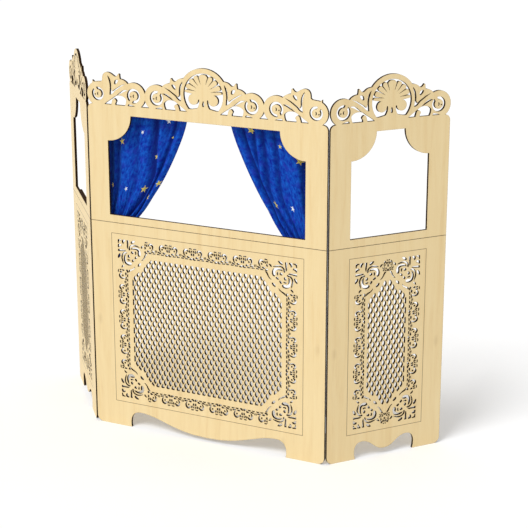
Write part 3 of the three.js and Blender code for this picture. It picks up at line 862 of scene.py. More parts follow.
@cache
def pierced_board_tree() -> Tree:
    """Builds the tree that turns flat outlines into a laser-cut board.

    The object's own rings are the outline and the large holes. The tree adds a staggered field
    of lens holes, cut off flat at an eight-sided border, and ornaments on two sets of places,
    then fills between the rings, gives the board its thickness, lets the hinges' knuckles into
    its back corners and paints its cut sides.

    Returns:
        The tree.
    """
    tree, given = new_geometry_tree("pierced_board", {
        "Thickness": "Float", "Columns": "Int", "Rows": "Int", "Pitch": "Float",
        "Row Height": "Float", "First Shift": "Float", "Lens Width": "Float",
        "Lens Height": "Float", "Half Width": "Float", "Half Height": "Float",
        "Corner Reach": "Float", "Keep Reach": "Float", "Field Middle": "Vector",
        "Motif": "Object", "Motif Places": "Object", "Corner": "Object",
        "Corner Places": "Object", "Slots": "Object", "Face": "Material", "Cut": "Material",
    })
    add = partial(add_node, tree)

    def lattice() -> Socket:
        """Adds the field of lens holes.

        Returns:
            The holes' rings of edges.
        """
        columns, rows, pitch, row = (
            given[label] for label in ("Columns", "Rows", "Pitch", "Row Height")
        )
        half_width, half_height = given["Half Width"], given["Half Height"]
        grid = add(
            "GeometryNodeMeshGrid", ("MULTIPLY", ("SUBTRACT", columns, 1.0), pitch),
            ("MULTIPLY", ("SUBTRACT", rows, 1.0), row), columns, rows,
        )
        apart = add("ShaderNodeSeparateXYZ", add("GeometryNodeInputPosition"), out=None)
        x, y = apart["X"], apart["Y"]
        beside, above = ("ABSOLUTE", x), ("ABSOLUTE", y)
        number = ("ADD", ("ROUND", ("DIVIDE", y, row)), given["First Shift"])
        odd = ("ABSOLUTE", ("MODULO", number, 2.0))
        shift = add("ShaderNodeCombineXYZ", ("MULTIPLY", ("MULTIPLY", odd, 0.5), pitch))
        staggered = add("GeometryNodeSetPosition", {"Geometry": grid, "Offset": shift})
        outside = ("MAXIMUM", (
            "MAXIMUM", ("GREATER_THAN", beside, half_width), ("GREATER_THAN", above, half_height),
        ), ("GREATER_THAN", ("ADD", beside, above), given["Keep Reach"]))
        kept = add(
            "GeometryNodeDeleteGeometry", {"Geometry": staggered, "Selection": outside},
            domain="POINT",
        )
        # A lens: its width shrinks with the square of the circle's, so its tips are sharp.
        lens = add("GeometryNodeSetPosition", {
            "Geometry": add("GeometryNodeMeshCircle", 12, 1.0, fill_type="NONE"),
            "Position": add(
                "ShaderNodeCombineXYZ",
                ("MULTIPLY", ("MULTIPLY", x, ("MULTIPLY", beside, 0.5)), given["Lens Width"]),
                ("MULTIPLY", ("MULTIPLY", y, 0.5), given["Lens Height"]),
            ),
        })
        real = add("GeometryNodeRealizeInstances", add(
            "GeometryNodeInstanceOnPoints", {"Points": kept, "Instance": lens}))
        # What reaches past the border is drawn back onto it, first the sides, then the slants.
        within = add(
            "ShaderNodeCombineXYZ", ("MULTIPLY", ("MINIMUM", beside, half_width), ("SIGN", x)),
            ("MULTIPLY", ("MINIMUM", above, half_height), ("SIGN", y)),
        )
        squared = add("GeometryNodeSetPosition", {"Geometry": real, "Position": within})
        past = ("MAXIMUM", ("SUBTRACT", ("ADD", beside, above), given["Corner Reach"]), 0.0)
        back = ("MULTIPLY", past, -0.5)
        inwards = add(
            "ShaderNodeCombineXYZ", ("MULTIPLY", back, ("SIGN", x)),
            ("MULTIPLY", back, ("SIGN", y)),
        )
        clipped = add("GeometryNodeSetPosition", {"Geometry": squared, "Offset": inwards})
        return add("GeometryNodeTransform", {
            "Geometry": clipped, "Translation": given["Field Middle"],
        })

    shapes = {
        label: add("GeometryNodeObjectInfo", {"Object": given[label]}, out="Geometry")
        for label in ("Motif", "Motif Places", "Corner", "Corner Places", "Slots")
    }
    rings = add("GeometryNodeJoinGeometry", [given["Geometry"], lattice()] + [
        instanced(tree, shapes[f"{label} Places"], shapes[label]) for label in ("Motif", "Corner")
    ])
    flat = add("GeometryNodeFillCurve", add("GeometryNodeMeshToCurve", rings))
    down = add("ShaderNodeCombineXYZ", 0.0, 0.0, ("MULTIPLY", given["Thickness"], -1.0))
    back_plane = add("GeometryNodeSetPosition", {"Geometry": flat, "Offset": down})
    raised = add("GeometryNodeExtrudeMesh", {
        "Mesh": back_plane, "Offset": (0, 0, 1), "Offset Scale": given["Thickness"],
        "Individual": False,
    })
    marked = add("GeometryNodeStoreNamedAttribute", {
        "Geometry": raised, "Name": "cut_side", "Value": raised.node.outputs["Side"],
    }, data_type="BOOLEAN", domain="FACE")
    closed = add("GeometryNodeJoinGeometry", [marked, add("GeometryNodeFlipFaces", back_plane)])
    welded = add("GeometryNodeMergeByDistance", {"Geometry": closed, "Distance": 5e-6})
    slotted = add("GeometryNodeMeshBoolean", {
        "Mesh 1": welded, "Mesh 2": shapes["Slots"],
    }, operation="DIFFERENCE", solver="MANIFOLD")
    faced = add("GeometryNodeSetMaterial", {
        "Geometry": add("GeometryNodeRealizeInstances", slotted), "Material": given["Face"],
    })
    cut = add(
        "GeometryNodeInputNamedAttribute", {"Name": "cut_side"}, out="Attribute",
        data_type="BOOLEAN",
    )
    painted = add("GeometryNodeSetMaterial", {
        "Geometry": faced, "Selection": cut, "Material": given["Cut"],
    })
    add("NodeGroupOutput", painted, out=None)
    return tree


class Side(Enum):
    """A side of the stand: towards -X or towards +X."""

    LEFT = -1
    RIGHT = 1

    @property
    def word(self) -> str:
        """Returns the side's word in piece and node names."""
        return self.name.lower()


@dataclass(frozen=True)
class Panel:
    """One flat panel of the screen, with a frame of its own: x along it, y into it, z up."""

    body: str
    width: float
    to_world: Matrix
    thickness: float = 0.010
    seam: float = 0.850
    top: float = 1.315

    @property
    def flat_to_world(self) -> Matrix:
        """Returns the way from a board drawn flat, its front at z = 0 and upwards."""
        return self.to_world @ Matrix.Rotation(QUARTER, 4, "X")

    @property
    def backwards(self) -> Vector:
        """Returns the direction out of the panel's back."""
        return (self.to_world.to_3x3() @ Vector((0, 1, 0))).normalized()

    def paint_guides(self, mesh: Mesh, grain: Grain = Grain.UPRIGHT) -> None:
        """Gives a flat-drawn mesh the map and the depth that the wood finishes read.

        Args:
            mesh: drawn flat, with its front at z = 0.
            grain: which way the streaks run.
        """
        depth = mesh.attributes.new("depth", "FLOAT", "POINT")
        depth.data.foreach_set("value", [-v.co.z for v in mesh.vertices])
        places = []
        for loop in mesh.loops:
            x, y, _ = mesh.vertices[loop.vertex_index].co
            places += (x, y) if grain is Grain.UPRIGHT else (y, x)
        mesh.uv_layers.new(name="panel").data.foreach_set("uv", places)


def centre_panel() -> Panel:
    """Returns the centre panel, whose front is the stand's foremost plane."""
    low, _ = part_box("centre_upper_board")
    return Panel("centre", 1.0, Matrix.Translation((-0.5, low.y, 0)))


def hinge_axis(side: Side) -> Vector:
    """Returns the foot of the axis that a wing turns about."""
    joint = next(j for j in frame["joints"] if j["name"] == f"{side.word}_wing_fold")
    return Vector((joint["pos_m"][0], joint["pos_m"][1], 0))


def wing_panel(side: Side, edge_gap: float = 0.0003, behind_front: float = 0.010) -> Panel:
    """Returns a wing's panel as it stands when folded back.

    Args:
        side: which wing.
        edge_gap: from the hinge's axis to the board's edge.
        behind_front: from the board's front to the hinge's axis.

    Returns:
        The wing's panel.
    """
    width, fold_back = 0.497, math.radians(50)
    start = edge_gap if side is Side.RIGHT else -edge_gap - width
    fold = Matrix.Rotation(side.value * fold_back, 4, "Z")
    board = Matrix.Translation((start, -behind_front, 0))
    return Panel(f"{side.word}_wing", width, Matrix.Translation(hinge_axis(side)) @ fold @ board)


def hinge_heights() -> dict[str, float]:
    """Reads the hinges' heights from their CAD leaves, the same on both sides.

    Returns:
        Each hinge's word and the height of its middle.
    """
    boxes = {
        word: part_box(f"left_{word}_hinge_centre_leaf") for word in ("lower", "middle", "upper")
    }
    return {word: (low.z + high.z) / 2 for word, (low, high) in boxes.items()}


def outlines_of(node: str, to_flat: Matrix) -> list[Loop]:
    """Reads the upward faces' edges of a CAD node, seen through a map, as closed outlines.

    Args:
        node: the CAD node.
        to_flat: the way from the world to the flat drawing, where the wanted faces look up.

    Returns:
        The outlines, the largest first.
    """
    work = bmesh.new()
    work.from_mesh(frame["nodes"][node].data)
    work.transform(to_flat)
    bmesh.ops.remove_doubles(work, verts=work.verts, dist=2e-6)
    work.normal_update()
    top = max(v.co.z for v in work.verts)
    # A dict keeps the faces' order, where a set would give the outlines another start each run.
    upper = dict.fromkeys(
        f for f in work.faces if f.normal.z > 0.99 and f.calc_center_median().z > top - 1e-4
    )
    after = {}
    for face in upper:
        for loop in face.loops:
            if not any(other in upper for other in loop.edge.link_faces if other is not face):
                after[loop.vert] = loop.link_loop_next.vert
    loops = []
    while after:
        start, vertex = after.popitem()
        ring = [start]
        while vertex is not start:
            ring.append(vertex)
            vertex = after.pop(vertex)
        loops.append([(v.co.x, v.co.y) for v in ring])
    work.free()
    return sorted(loops, key=lambda loop: -abs(signed_area(loop)))


def in_metres(loops: list[Loop]) -> list[Loop]:
    """Returns outlines that were written in millimetres."""
    return [[(x * MM, y * MM) for x, y in loop] for loop in loops]


# Half of the lace motif: x from its middle, y outwards from the lace's inner edge, in mm.
HALF_MOTIF = [
    [(17, 30), (20, 38), (28, 43), (36, 40), (41, 31), (40, 22), (35, 15), (29, 13), (34, 20),
     (35, 28), (31, 34), (26, 35), (22, 31)],
    [(24, 22), (29, 22), (30, 27), (27, 29), (24, 27)],
    [(9, 29), (11, 37), (15, 39), (15, 32), (12, 27)],
    [(2, 41.5), (4, 45), (16, 45), (13, 42.5), (8, 43)],
    [(2, 30), (2, 38), (7, 38), (6, 31)],
    [(1.6, 17), (1.6, 27), (6, 27), (8, 22), (5, 17)],
    [(12, 10), (16, 15), (26, 13), (23, 9), (17, 7)],
    [(30, 8), (35, 12), (46, 14), (44, 10), (37, 7)],
    [(1.5, 2), (1.5, 8), (5, 10), (9, 6), (15, 3.5), (13, 1)],
    [(19, 1), (21, 4.5), (31, 4.5), (33, 1.5)],
    [(37, 1.5), (39, 4.5), (48, 6), (50, 2)],
    [(48.5, 10), (49, 18), (51.6, 19), (51.6, 10)],
]
# The lace's corner: x and y are the distances from its two outer sides, in mm. The paired cuts
# come twice, the second time with x and y exchanged.
CORNER_PAIRED = [
    [(103, 42), (104, 52), (100, 61), (94, 63), (91, 58), (90, 50), (91, 43), (86, 38), (74, 36),
     (60, 38), (63, 33), (74, 28), (88, 28), (98, 33)],
    [(77, 46), (82, 43.5), (84.5, 50), (82, 57), (79, 56), (79.5, 50)],
    [(71, 45), (73, 52), (66, 56), (60, 52), (62, 46)],
    [(89, 67), (84, 63), (79, 66), (76, 72), (79, 74), (84, 72)],
    [(101, 26), (87, 19), (72, 17), (59, 22), (51, 32), (52, 43), (56, 41), (57, 33),
     (63, 26), (74, 22), (86, 24)],
    [(133, 48.5), (126, 48.5), (121, 55), (117, 65), (106, 77), (111, 76), (121, 66), (127, 56)],
    [(80, 1), (71, 1), (60, 9), (61, 14), (68, 13)],
    [(51, 2), (42, 3), (43, 18), (44, 34), (47, 38), (49, 22)],
    [(34, 1.5), (23, 3), (21, 9), (23, 17), (28, 19), (30, 11), (35, 6)],
    [(118, 17), (112, 17), (105, 25), (108, 29), (114, 22)],
]
CORNER_SINGLE = [
    [(105, 89), (97, 90), (90, 98), (90, 104), (98, 101)],
    [(3, 3), (2, 17), (6, 18), (9, 9), (18, 6), (17, 2)],
]
# The comma-like slit in a scroll's eye, from the eye's middle, in mm.
EYE_SLIT = [
    (-2.6, -6.5), (1.4, -5.2), (2.8, -0.6), (1.8, 4), (-1.6, 6.5), (-2.6, 4.8), (-0.8, 1.2),
    (-1.3, -2.6),
]


@dataclass(frozen=True)
class LensField:
    """The staggered field of lens holes in a lower board, inside an eight-sided border."""

    middle: Point
    half_width: float
    half_height: float
    chamfer: float
    first_shift: float
    pitch: float = 0.0228
    row: float = 0.0198
    lens_width: float = 0.0144
    lens_height: float = 0.0265
    margin: float = -0.003

    def inputs(self) -> dict[str, object]:
        """Works the field out for the pierced-board tree.

        Returns:
            The tree's inputs by name.
        """
        reach = self.half_width + self.half_height - self.chamfer
        return {
            "Columns": 2 * math.ceil(self.half_width / self.pitch) + 3,
            "Rows": 2 * math.ceil(self.half_height / self.row) + 1,
            "Pitch": self.pitch, "Row Height": self.row, "First Shift": self.first_shift,
            "Lens Width": self.lens_width, "Lens Height": self.lens_height,
            "Half Width": self.half_width, "Half Height": self.half_height,
            "Corner Reach": reach, "Keep Reach": reach - self.margin,
            "Field Middle": (*self.middle, 0.0),
        }


@dataclass(frozen=True)
class LaceBand:
    """The band of pierced scrollwork round the lens field: its outer sides and its motifs."""

    left: float
    right: float
    bottom: float = 0.123
    top: float = 0.787
    depth: float = 0.046
    row_motifs: tuple[float, ...] = ()
    row_halves: tuple[float, ...] = ()
    column_motifs: tuple[float, ...] = (0.350, 0.455, 0.560)
    column_halves: tuple[float, ...] = (0.245, 0.665)
    crown: float | None = None
    crown_size: Point = (0.45, 0.95)

    def motif_places(self) -> list[Place]:
        """Places the half motifs along the lace's four sides.

        Returns:
            Each half motif's point, turn and size.
        """
        places, flips = [], (1.0, -1.0)
        low, high = self.bottom + self.depth, self.top - self.depth
        near, far = self.left + self.depth, self.right - self.depth
        for x in self.row_motifs:
            for turn, y in ((0.0, high), (math.pi, low)):
                places += [((x, y), turn, (flip, 1.0)) for flip in flips]
        for y in self.column_motifs:
            for turn, x in ((QUARTER, near), (-QUARTER, far)):
                places += [((x, y), turn, (flip, 1.0)) for flip in flips]
        for x, flip in zip(self.row_halves, flips):
            places += [((x, high), 0.0, (flip, 1.0)), ((x, low), math.pi, (-flip, 1.0))]
        for y, flip in zip(self.column_halves, flips):
            places += [((near, y), QUARTER, (flip, 1.0)), ((far, y), -QUARTER, (-flip, 1.0))]
        if self.crown is not None:
            wide, tall = self.crown_size
            for turn, y in ((0.0, high), (math.pi, low)):
                places += [((self.crown, y), turn, (wide * flip, tall)) for flip in flips]
        return places

    def corner_places(self) -> list[Place]:
        """Places the lace's four corners.

        Returns:
            Each corner's point, turn and way of turning over.
        """
        return [
            ((x, y), 0.0, (across, up))
            for x, across in ((self.left, 1.0), (self.right, -1.0))
            for y, up in ((self.bottom, 1.0), (self.top, -1.0))
        ]


@dataclass
class PanelBoards:
    """One panel's boards: the pierced lower one, the windowed upper one and their batten."""

    panel: Panel
    lenses: LensField
    lace: LaceBand
    line: EngravedLine
    eye_places: tuple[Point, ...]
    batten_length: float
    screw_columns: int
    hinge_axes: tuple[float, ...]
    slot_half: float = 0.0030
    slot_below: float = 0.0323
    slot_above: float = 0.0340
    batten_height: float = 0.056
    batten_thickness: float = 0.010
    batten_corner: float = 0.008
    batten_bevel: float = 0.0012
    screw_inset: float = 0.025
    screw_rise: float = 0.014
    eye_hole_radius: float = 0.0024
    eye_dot: Point = (0.011, -0.003)
    lace_corner: float = math.radians(62)
    crest_straight: float = 0.022

    def knuckle_slots(self) -> Piece:
        """Makes the square bars that are cut out of the board's back corners at the hinges.

        Returns:
            The bars' object.
        """
        work = bmesh.new()
        tall = self.slot_below + self.slot_above
        size = Matrix.Diagonal((2 * self.slot_half, tall, 2 * self.slot_half, 1))
        for x in self.hinge_axes:
            for middle in hinge_heights().values():
                place = (x, middle + (self.slot_above - self.slot_below) / 2, -self.panel.thickness)
                bmesh.ops.create_cube(work, size=1, matrix=Matrix.Translation(place) @ size)
        mesh = mesh_of(work, "knuckle_slots")
        marks = mesh.attributes.new("cut_side", "BOOLEAN", "FACE")
        marks.data.foreach_set("value", [True] * len(mesh.polygons))
        return plain_object("knuckle_slots", mesh)

    def cut_board(self, node: str, rings: list[Loop], inputs: dict[str, object]) -> None:
        """Cuts one board from its rings and puts it in the CAD board's place.

        Args:
            node: the CAD node that it stands for.
            rings: its outline and large holes, drawn flat.
            inputs: the tree's inputs for what repeats.
        """
        board, slots = outline_object(f"{node}_cut", rings), self.knuckle_slots()
        mesh = through_tree(board, pierced_board_tree(), {
            "Thickness": self.panel.thickness, "Columns": 0, "Rows": 0, "Slots": slots,
            "Face": SandedBirchPly(self.panel.body, self.line).material(),
            "Cut": LaserCharredEdge().material(), **inputs,
        })
        bpy.data.objects.remove(slots)
        self.panel.paint_guides(mesh)
        mesh.transform(self.panel.flat_to_world)
        keep(board, self.panel.body, "plywood", node)

    def build_lower(self) -> None:
        """Cuts the lower board: its CAD outline, the lens field and the lace."""
        node = f"{self.panel.body}_lower_board"
        outline = outlines_of(node, self.panel.flat_to_world.inverted())[0]
        swapped = [[(y, x) for x, y in loop] for loop in CORNER_PAIRED]
        motif, corner = (
            [eased(loop, self.lace_corner) for loop in in_metres(loops)]
            for loops in (HALF_MOTIF, CORNER_PAIRED + swapped + CORNER_SINGLE)
        )
        ornaments = {
            "Motif": outline_object("motif", motif),
            "Motif Places": places_object("motif_places", self.lace.motif_places()),
            "Corner": outline_object("corner", corner),
            "Corner Places": places_object("corner_places", self.lace.corner_places()),
        }
        self.cut_board(node, [eased(outline)], {**self.lenses.inputs(), **ornaments})
        for part in ornaments.values():
            bpy.data.objects.remove(part)

    def build_upper(self) -> None:
        """Cuts the upper board: its CAD outline, window and crest, and the scrolls' eyes."""
        node = f"{self.panel.body}_upper_board"
        to_flat = self.panel.flat_to_world.inverted()
        rings = [eased(ring, straight=self.crest_straight) for ring in outlines_of(node, to_flat)]
        slit = in_metres([EYE_SLIT])[0]
        for x, y in self.eye_places:
            for way in (side.value for side in Side):
                middle, height = self.panel.width / 2 + way * x, self.panel.top + y
                rings.append([(middle + way * dx, height + dy) for dx, dy in slit])
                dot = (middle + way * self.eye_dot[0], height + self.eye_dot[1])
                rings.append(circle(dot, self.eye_hole_radius))
        self.cut_board(node, rings, {})

    def build_batten(self) -> None:
        """Makes the batten behind the seam, and its screws."""
        x, y = self.panel.width / 2, self.panel.seam
        outline = rounded_rectangle(
            (x, y), self.batten_length, self.batten_height, self.batten_corner
        )
        back = self.panel.thickness + SEAT
        depth = back + self.batten_thickness
        mesh = routed_plate([outline], back, depth, self.batten_bevel)
        self.panel.paint_guides(mesh, Grain.LEVEL)
        for finish in (SandedBirchPly("batten"), LaserCharredEdge()):
            mesh.materials.append(finish.material())
        for polygon in mesh.polygons:
            polygon.material_index = 0 if abs(polygon.normal.z) > 0.35 else 1
        mesh.transform(self.panel.flat_to_world)
        body = self.panel.body
        keep(plain_object(f"{body}_batten_routed", mesh), body, "plywood", f"{body}_batten")
        spots = []
        for column in range(self.screw_columns):
            share = column / (self.screw_columns - 1) - 0.5
            px = x + share * (self.batten_length - 2 * self.screw_inset)
            for row in (-1, 1):
                place = Vector((px, y + row * self.screw_rise, -depth))
                spots.append((self.panel.flat_to_world @ place, self.panel.backwards))
        keep(driven_screws(f"{body}_batten_screws", spots), body, "zinc_steel")

    def build(self) -> None:
        """Builds all the panel's boards."""
        self.build_lower()
        self.build_upper()
        self.build_batten()


def routed_plate(loops: list[Loop], near: float, far: float, bevel: float) -> Mesh:
    """Makes a flat-drawn plate with eased edges, from z = -near down to z = -far.

    Args:
        loops: the outline and its holes.
        near: depth of the face that looks up.
        far: depth of the face that looks down.
        bevel: width of the eased edges.

    Returns:
        The plate's mesh.
    """
    work = bmesh.new()
    for loop in loops:
        ring = [work.verts.new((x, y, -near)) for x, y in loop]
        for k, vertex in enumerate(ring):
            work.edges.new((vertex, ring[(k + 1) % len(ring)]))
    bmesh.ops.triangle_fill(work, edges=work.edges, use_beauty=True, normal=(0, 0, 1))
    bmesh.ops.dissolve_limit(
        work, verts=work.verts, edges=work.edges, angle_limit=math.radians(1)
    )
    made = bmesh.ops.extrude_face_region(work, geom=list(work.faces), use_keep_orig=True)
    lowered = [v for v in made["geom"] if isinstance(v, bmesh.types.BMVert)]
    bmesh.ops.translate(work, verts=lowered, vec=(0, 0, near - far))
    bmesh.ops.recalc_face_normals(work, faces=work.faces)
    rims = [
        edge for edge in work.edges
        if edge.is_manifold and abs(edge.link_faces[0].normal.z - edge.link_faces[1].normal.z) > 0.5
    ]
    bmesh.ops.bevel(
        work, geom=rims, offset=bevel, segments=2, profile=0.5, affect="EDGES",
        clamp_overlap=True,
    )
    return mesh_of(work, "plate")


def screw_head(
    arm: float = 0.00035, reach: float = 0.0016, rim: float = 0.0031, crown: float = 0.0026
) -> Piece:
    """Makes the head of a countersunk screw with a cross recess, its top towards +Z.

    Args:
        arm: half the width of the recess's arms.
        reach: from the axis to an arm's end.
        rim: the head's radius.
        crown: the radius of the flat on top.

    Returns:
        The head's object.
    """
    work = bmesh.new()
    cross, ring = [], []
    for quarter in range(4):
        turn = Matrix.Rotation(QUARTER * quarter, 3, "Z")
        cross += [turn @ Vector(p) for p in ((reach, -arm, 0), (reach, arm, 0), (arm, arm, 0))]
    for point, after in zip(cross, cross[1:] + cross[:1]):
        ring += [math.atan2(point.y, point.x), math.atan2(*(point + after).yx)]
    top, floor = (
        [work.verts.new((p.x * share, p.y * share, z)) for p in cross]
        for share, z in ((1, 0.0009), (0.7, -0.0006))
    )
    inner, outer, root = (
        [work.verts.new((radius * math.cos(a), radius * math.sin(a), z)) for a in ring]
        for radius, z in ((crown, 0.0007), (rim, 0), (rim * 0.6, -0.0018))
    )
    for k in range(len(cross)):
        j = (k + 1) % len(cross)
        rise = (inner[2 * k], inner[2 * k + 1], inner[2 * j])
        work.faces.new((top[k], *rise, top[j]))
        work.faces.new((top[j], floor[j], floor[k], top[k]))
    for k in range(len(ring)):
        j = (k + 1) % len(ring)
        work.faces.new((inner[k], outer[k], outer[j], inner[j]))
        work.faces.new((outer[k], root[k], root[j], outer[j]))
    work.faces.new(floor)
    work.faces.new(root[::-1])
    bmesh.ops.recalc_face_normals(work, faces=work.faces)
    return plain_object("screw_head", mesh_of(work, "screw_head"))


@cache
def screw_tree() -> Tree:
    """Builds the tree that sets a screw on each point, turned at random about its axis.

    Returns:
        The tree.
    """
    tree, given = new_geometry_tree(
        "driven_screws", {"Head": "Object", "Size": "Float", "Metal": "Material"}
    )
    add = partial(add_node, tree)
    towards = add(
        "GeometryNodeInputNamedAttribute", {"Name": "out"}, out="Attribute",
        data_type="FLOAT_VECTOR",
    )
    spin = add("FunctionNodeRandomValue", {"Seed": 7, 2: 0.0, 3: QUARTER}, out=1,
               data_type="FLOAT")
    about = add("FunctionNodeAxisAngleToRotation", {"Axis": (0, 0, 1), "Angle": spin})
    aligned = {"Rotation": about, "Vector": towards}
    placed = add("GeometryNodeInstanceOnPoints", {
        "Points": given["Geometry"],
        "Instance": add("GeometryNodeObjectInfo", {"Object": given["Head"]}, out="Geometry"),
        "Rotation": add("FunctionNodeAlignRotationToVector", aligned, axis="Z"),
        "Scale": add("ShaderNodeCombineXYZ", *[given["Size"]] * 3),
    })
    painted = add("GeometryNodeSetMaterial", {
        "Geometry": add("GeometryNodeRealizeInstances", placed), "Material": given["Metal"],
    })
    add("NodeGroupOutput", painted, out=None)
    return tree


def driven_screws(name: str, spots: list[tuple[Vector, Vector]], size: float = 1.0) -> Piece:
    """Sets zinc-plated screws on points of the stand.

    Args:
        name: the piece's name.
        spots: each screw's place and the direction its head looks.
        size: the heads' size against a 6 mm one.

    Returns:
        One plain mesh of all the screws.
    """
    mesh = bpy.data.meshes.new(name)
    mesh.from_pydata([tuple(place) for place, _ in spots], [], [])
    out = mesh.attributes.new("out", "FLOAT_VECTOR", "POINT")
    for i, (_, direction) in enumerate(spots):
        out.data[i].vector = direction
    piece, head = plain_object(name, mesh), screw_head()
    through_tree(piece, screw_tree(), {
        "Head": head, "Size": size, "Metal": ZincPlate().material(),
    })
    bpy.data.objects.remove(head)
    return piece


def turned_mesh(profile: list[Point], sides: int = 32) -> Mesh:
    """Turns a profile of (radius, z) pairs about the z axis into a closed mesh.

    Args:
        profile: from the lower pole to the upper one, both on the axis.
        sides: round the axis.

    Returns:
        The mesh, smooth where the profile bends little.
    """
    work = bmesh.new()
    angles = [2 * math.pi * k / sides for k in range(sides)]
    rings = [
        [work.verts.new((radius * math.cos(a), radius * math.sin(a), z)) for a in angles]
        if radius > 0 else [work.verts.new((0, 0, z))] * sides
        for radius, z in profile
    ]
    for lower, upper in zip(rings, rings[1:]):
        for k in range(sides):
            j = (k + 1) % sides
            work.faces.new(list(dict.fromkeys((lower[k], lower[j], upper[j], upper[k]))))
    bmesh.ops.recalc_face_normals(work, faces=work.faces)
    for face in work.faces:
        face.smooth = True
    for edge in work.edges:
        edge.smooth = edge.calc_face_angle(0) < math.radians(50)
    return mesh_of(work, "turned")


def joined_mesh(name: str, parts: list[tuple[Mesh, Matrix]]) -> Mesh:
    """Puts several meshes into one, each moved to its place.

    Args:
        name: the new mesh's name.
        parts: the meshes and their places.

    Returns:
        The joined mesh, without doubled points or flat faces.
    """
    work = bmesh.new()
    for mesh, place in parts:
        part = mesh.copy()
        part.transform(place)
        work.from_mesh(part)
        bpy.data.meshes.remove(part)
    bmesh.ops.remove_doubles(work, verts=work.verts, dist=1e-6)
    bmesh.ops.dissolve_degenerate(work, edges=work.edges, dist=1e-6)
    bmesh.ops.recalc_face_normals(work, faces=work.faces)
    return mesh_of(work, name)


@dataclass
class WingHinges:
    """The three hinges between the centre and one wing: leaves, knuckles, pins and screws."""

    side: Side
    wing: Panel
    height: float = 0.064
    leaf_width: float = 0.024
    leaf_thickness: float = 0.0015
    leaf_bevel: float = 0.0003
    relief: float = 0.0055
    overlap: float = 0.001
    knuckle_radius: float = 0.0027
    knuckle_bevel: float = 0.00025
    knuckle_gap: float = 0.0004
    pin_radius: float = 0.0014
    pin_end: float = 0.0002
    pin_dome: float = 0.0009
    corner: float = 0.003
    screw_size: float = 0.8
    screw_rise: float = 0.022

    def leaf(self, towards: int, knuckles: tuple[int, ...]) -> Mesh:
        """Makes one leaf about the hinge's axis, its plate on the boards' back.

        Args:
            towards: the way along x that its plate reaches from the axis.
            knuckles: which of the three knuckles it carries, from below.

        Returns:
            The leaf's mesh, the axis at x = 0, y = 0 and its lower end at z = 0.
        """
        step = (self.height + self.knuckle_gap) / 3
        length = step - self.knuckle_gap
        near, far = -SEAT - self.leaf_thickness, -SEAT
        plate = rounded_rectangle(
            ((self.relief + self.leaf_width) / 2, self.height / 2),
            self.leaf_width - self.relief, self.height, self.corner,
        )
        # Stands the flat drawing up, so that its front looks away from the boards.
        stand = Matrix(((towards, 0, 0, 0), (0, 0, 1, 0), (0, 1, 0, 0), (0, 0, 0, 1)))
        parts = [(routed_plate([plate], near, far, self.leaf_bevel), stand)]
        radius, bevel = self.knuckle_radius, self.knuckle_bevel
        barrel = turned_mesh([
            (0, 0), (radius - bevel, 0), (radius, bevel), (radius, length - bevel),
            (radius - bevel, length), (0, length),
        ], 28)
        wide = self.relief + self.overlap
        for low in (k * step for k in knuckles):
            parts.append((barrel, Matrix.Translation((0, 0, low))))
            link = rounded_rectangle((wide / 2, low + length / 2), wide, length, 0.0002)
            parts.append((routed_plate([link], near, far, 0.0001), stand))
        return joined_mesh("leaf", parts)

    def pin(self) -> Mesh:
        """Makes a pin with a domed head on top, flush below.

        Returns:
            The pin's mesh, its axis at x = 0, y = 0.
        """
        low, top, rise = -self.pin_end, self.height + self.pin_end, self.pin_dome
        shank, head = self.pin_radius * 0.9, self.pin_radius * 1.6
        return turned_mesh([
            (0, low), (shank, low), (shank, top), (head, top), (head * 0.85, top + rise * 0.7),
            (head * 0.5, top + rise * 1.3), (0, top + rise * 1.5),
        ], 20)

    def build(self) -> None:
        """Builds the leaves, pins and screws of the three hinges."""
        axis = hinge_axis(self.side)
        fold = self.wing.to_world.to_quaternion().to_matrix().to_4x4()
        inward = -self.side.value
        for word, middle in hinge_heights().items():
            foot = Matrix.Translation(axis + Vector((0, 0, middle - self.height / 2)))
            for body, half, mesh, place in (
                ("centre", "centre_leaf", self.leaf(inward, (0, 2)), foot),
                ("centre", "pin", self.pin(), foot),
                (self.wing.body, "wing_leaf", self.leaf(-inward, (1,)), foot @ fold),
            ):
                node = f"{self.side.word}_{word}_hinge_{half}"
                mesh.transform(place)
                mesh.materials.append(ZincPlate().material())
                keep(plain_object(f"{node}_plated", mesh), body, "zinc_steel", node)
        self.build_screws(axis, fold, inward)

    def build_screws(self, axis: Vector, fold: Matrix, inward: int) -> None:
        """Sets three screws in each leaf, one mesh for each body.

        Args:
            axis: the hinges' axis at floor level.
            fold: the wing's turn.
            inward: the way along x from the axis to the centre.
        """
        reach = (self.relief + self.leaf_width) / 2 + 0.0015
        for body, turn, way in (
            ("centre", Matrix.Identity(4), inward), (self.wing.body, fold, -inward),
        ):
            spots = []
            for middle in hinge_heights().values():
                for k in (-1, 0, 1):
                    # The outer two sit a little farther from the axis than the middle one.
                    flat = Vector((way * (reach + 0.002 * abs(k)), SEAT + self.leaf_thickness, 0))
                    place = turn @ flat + axis + Vector((0, 0, middle + k * self.screw_rise))
                    spots.append((place, turn @ Vector((0, 1, 0))))
            name = f"{self.side.word}_hinge_screws_{body}"
            keep(driven_screws(name, spots, self.screw_size), body, "zinc_steel")


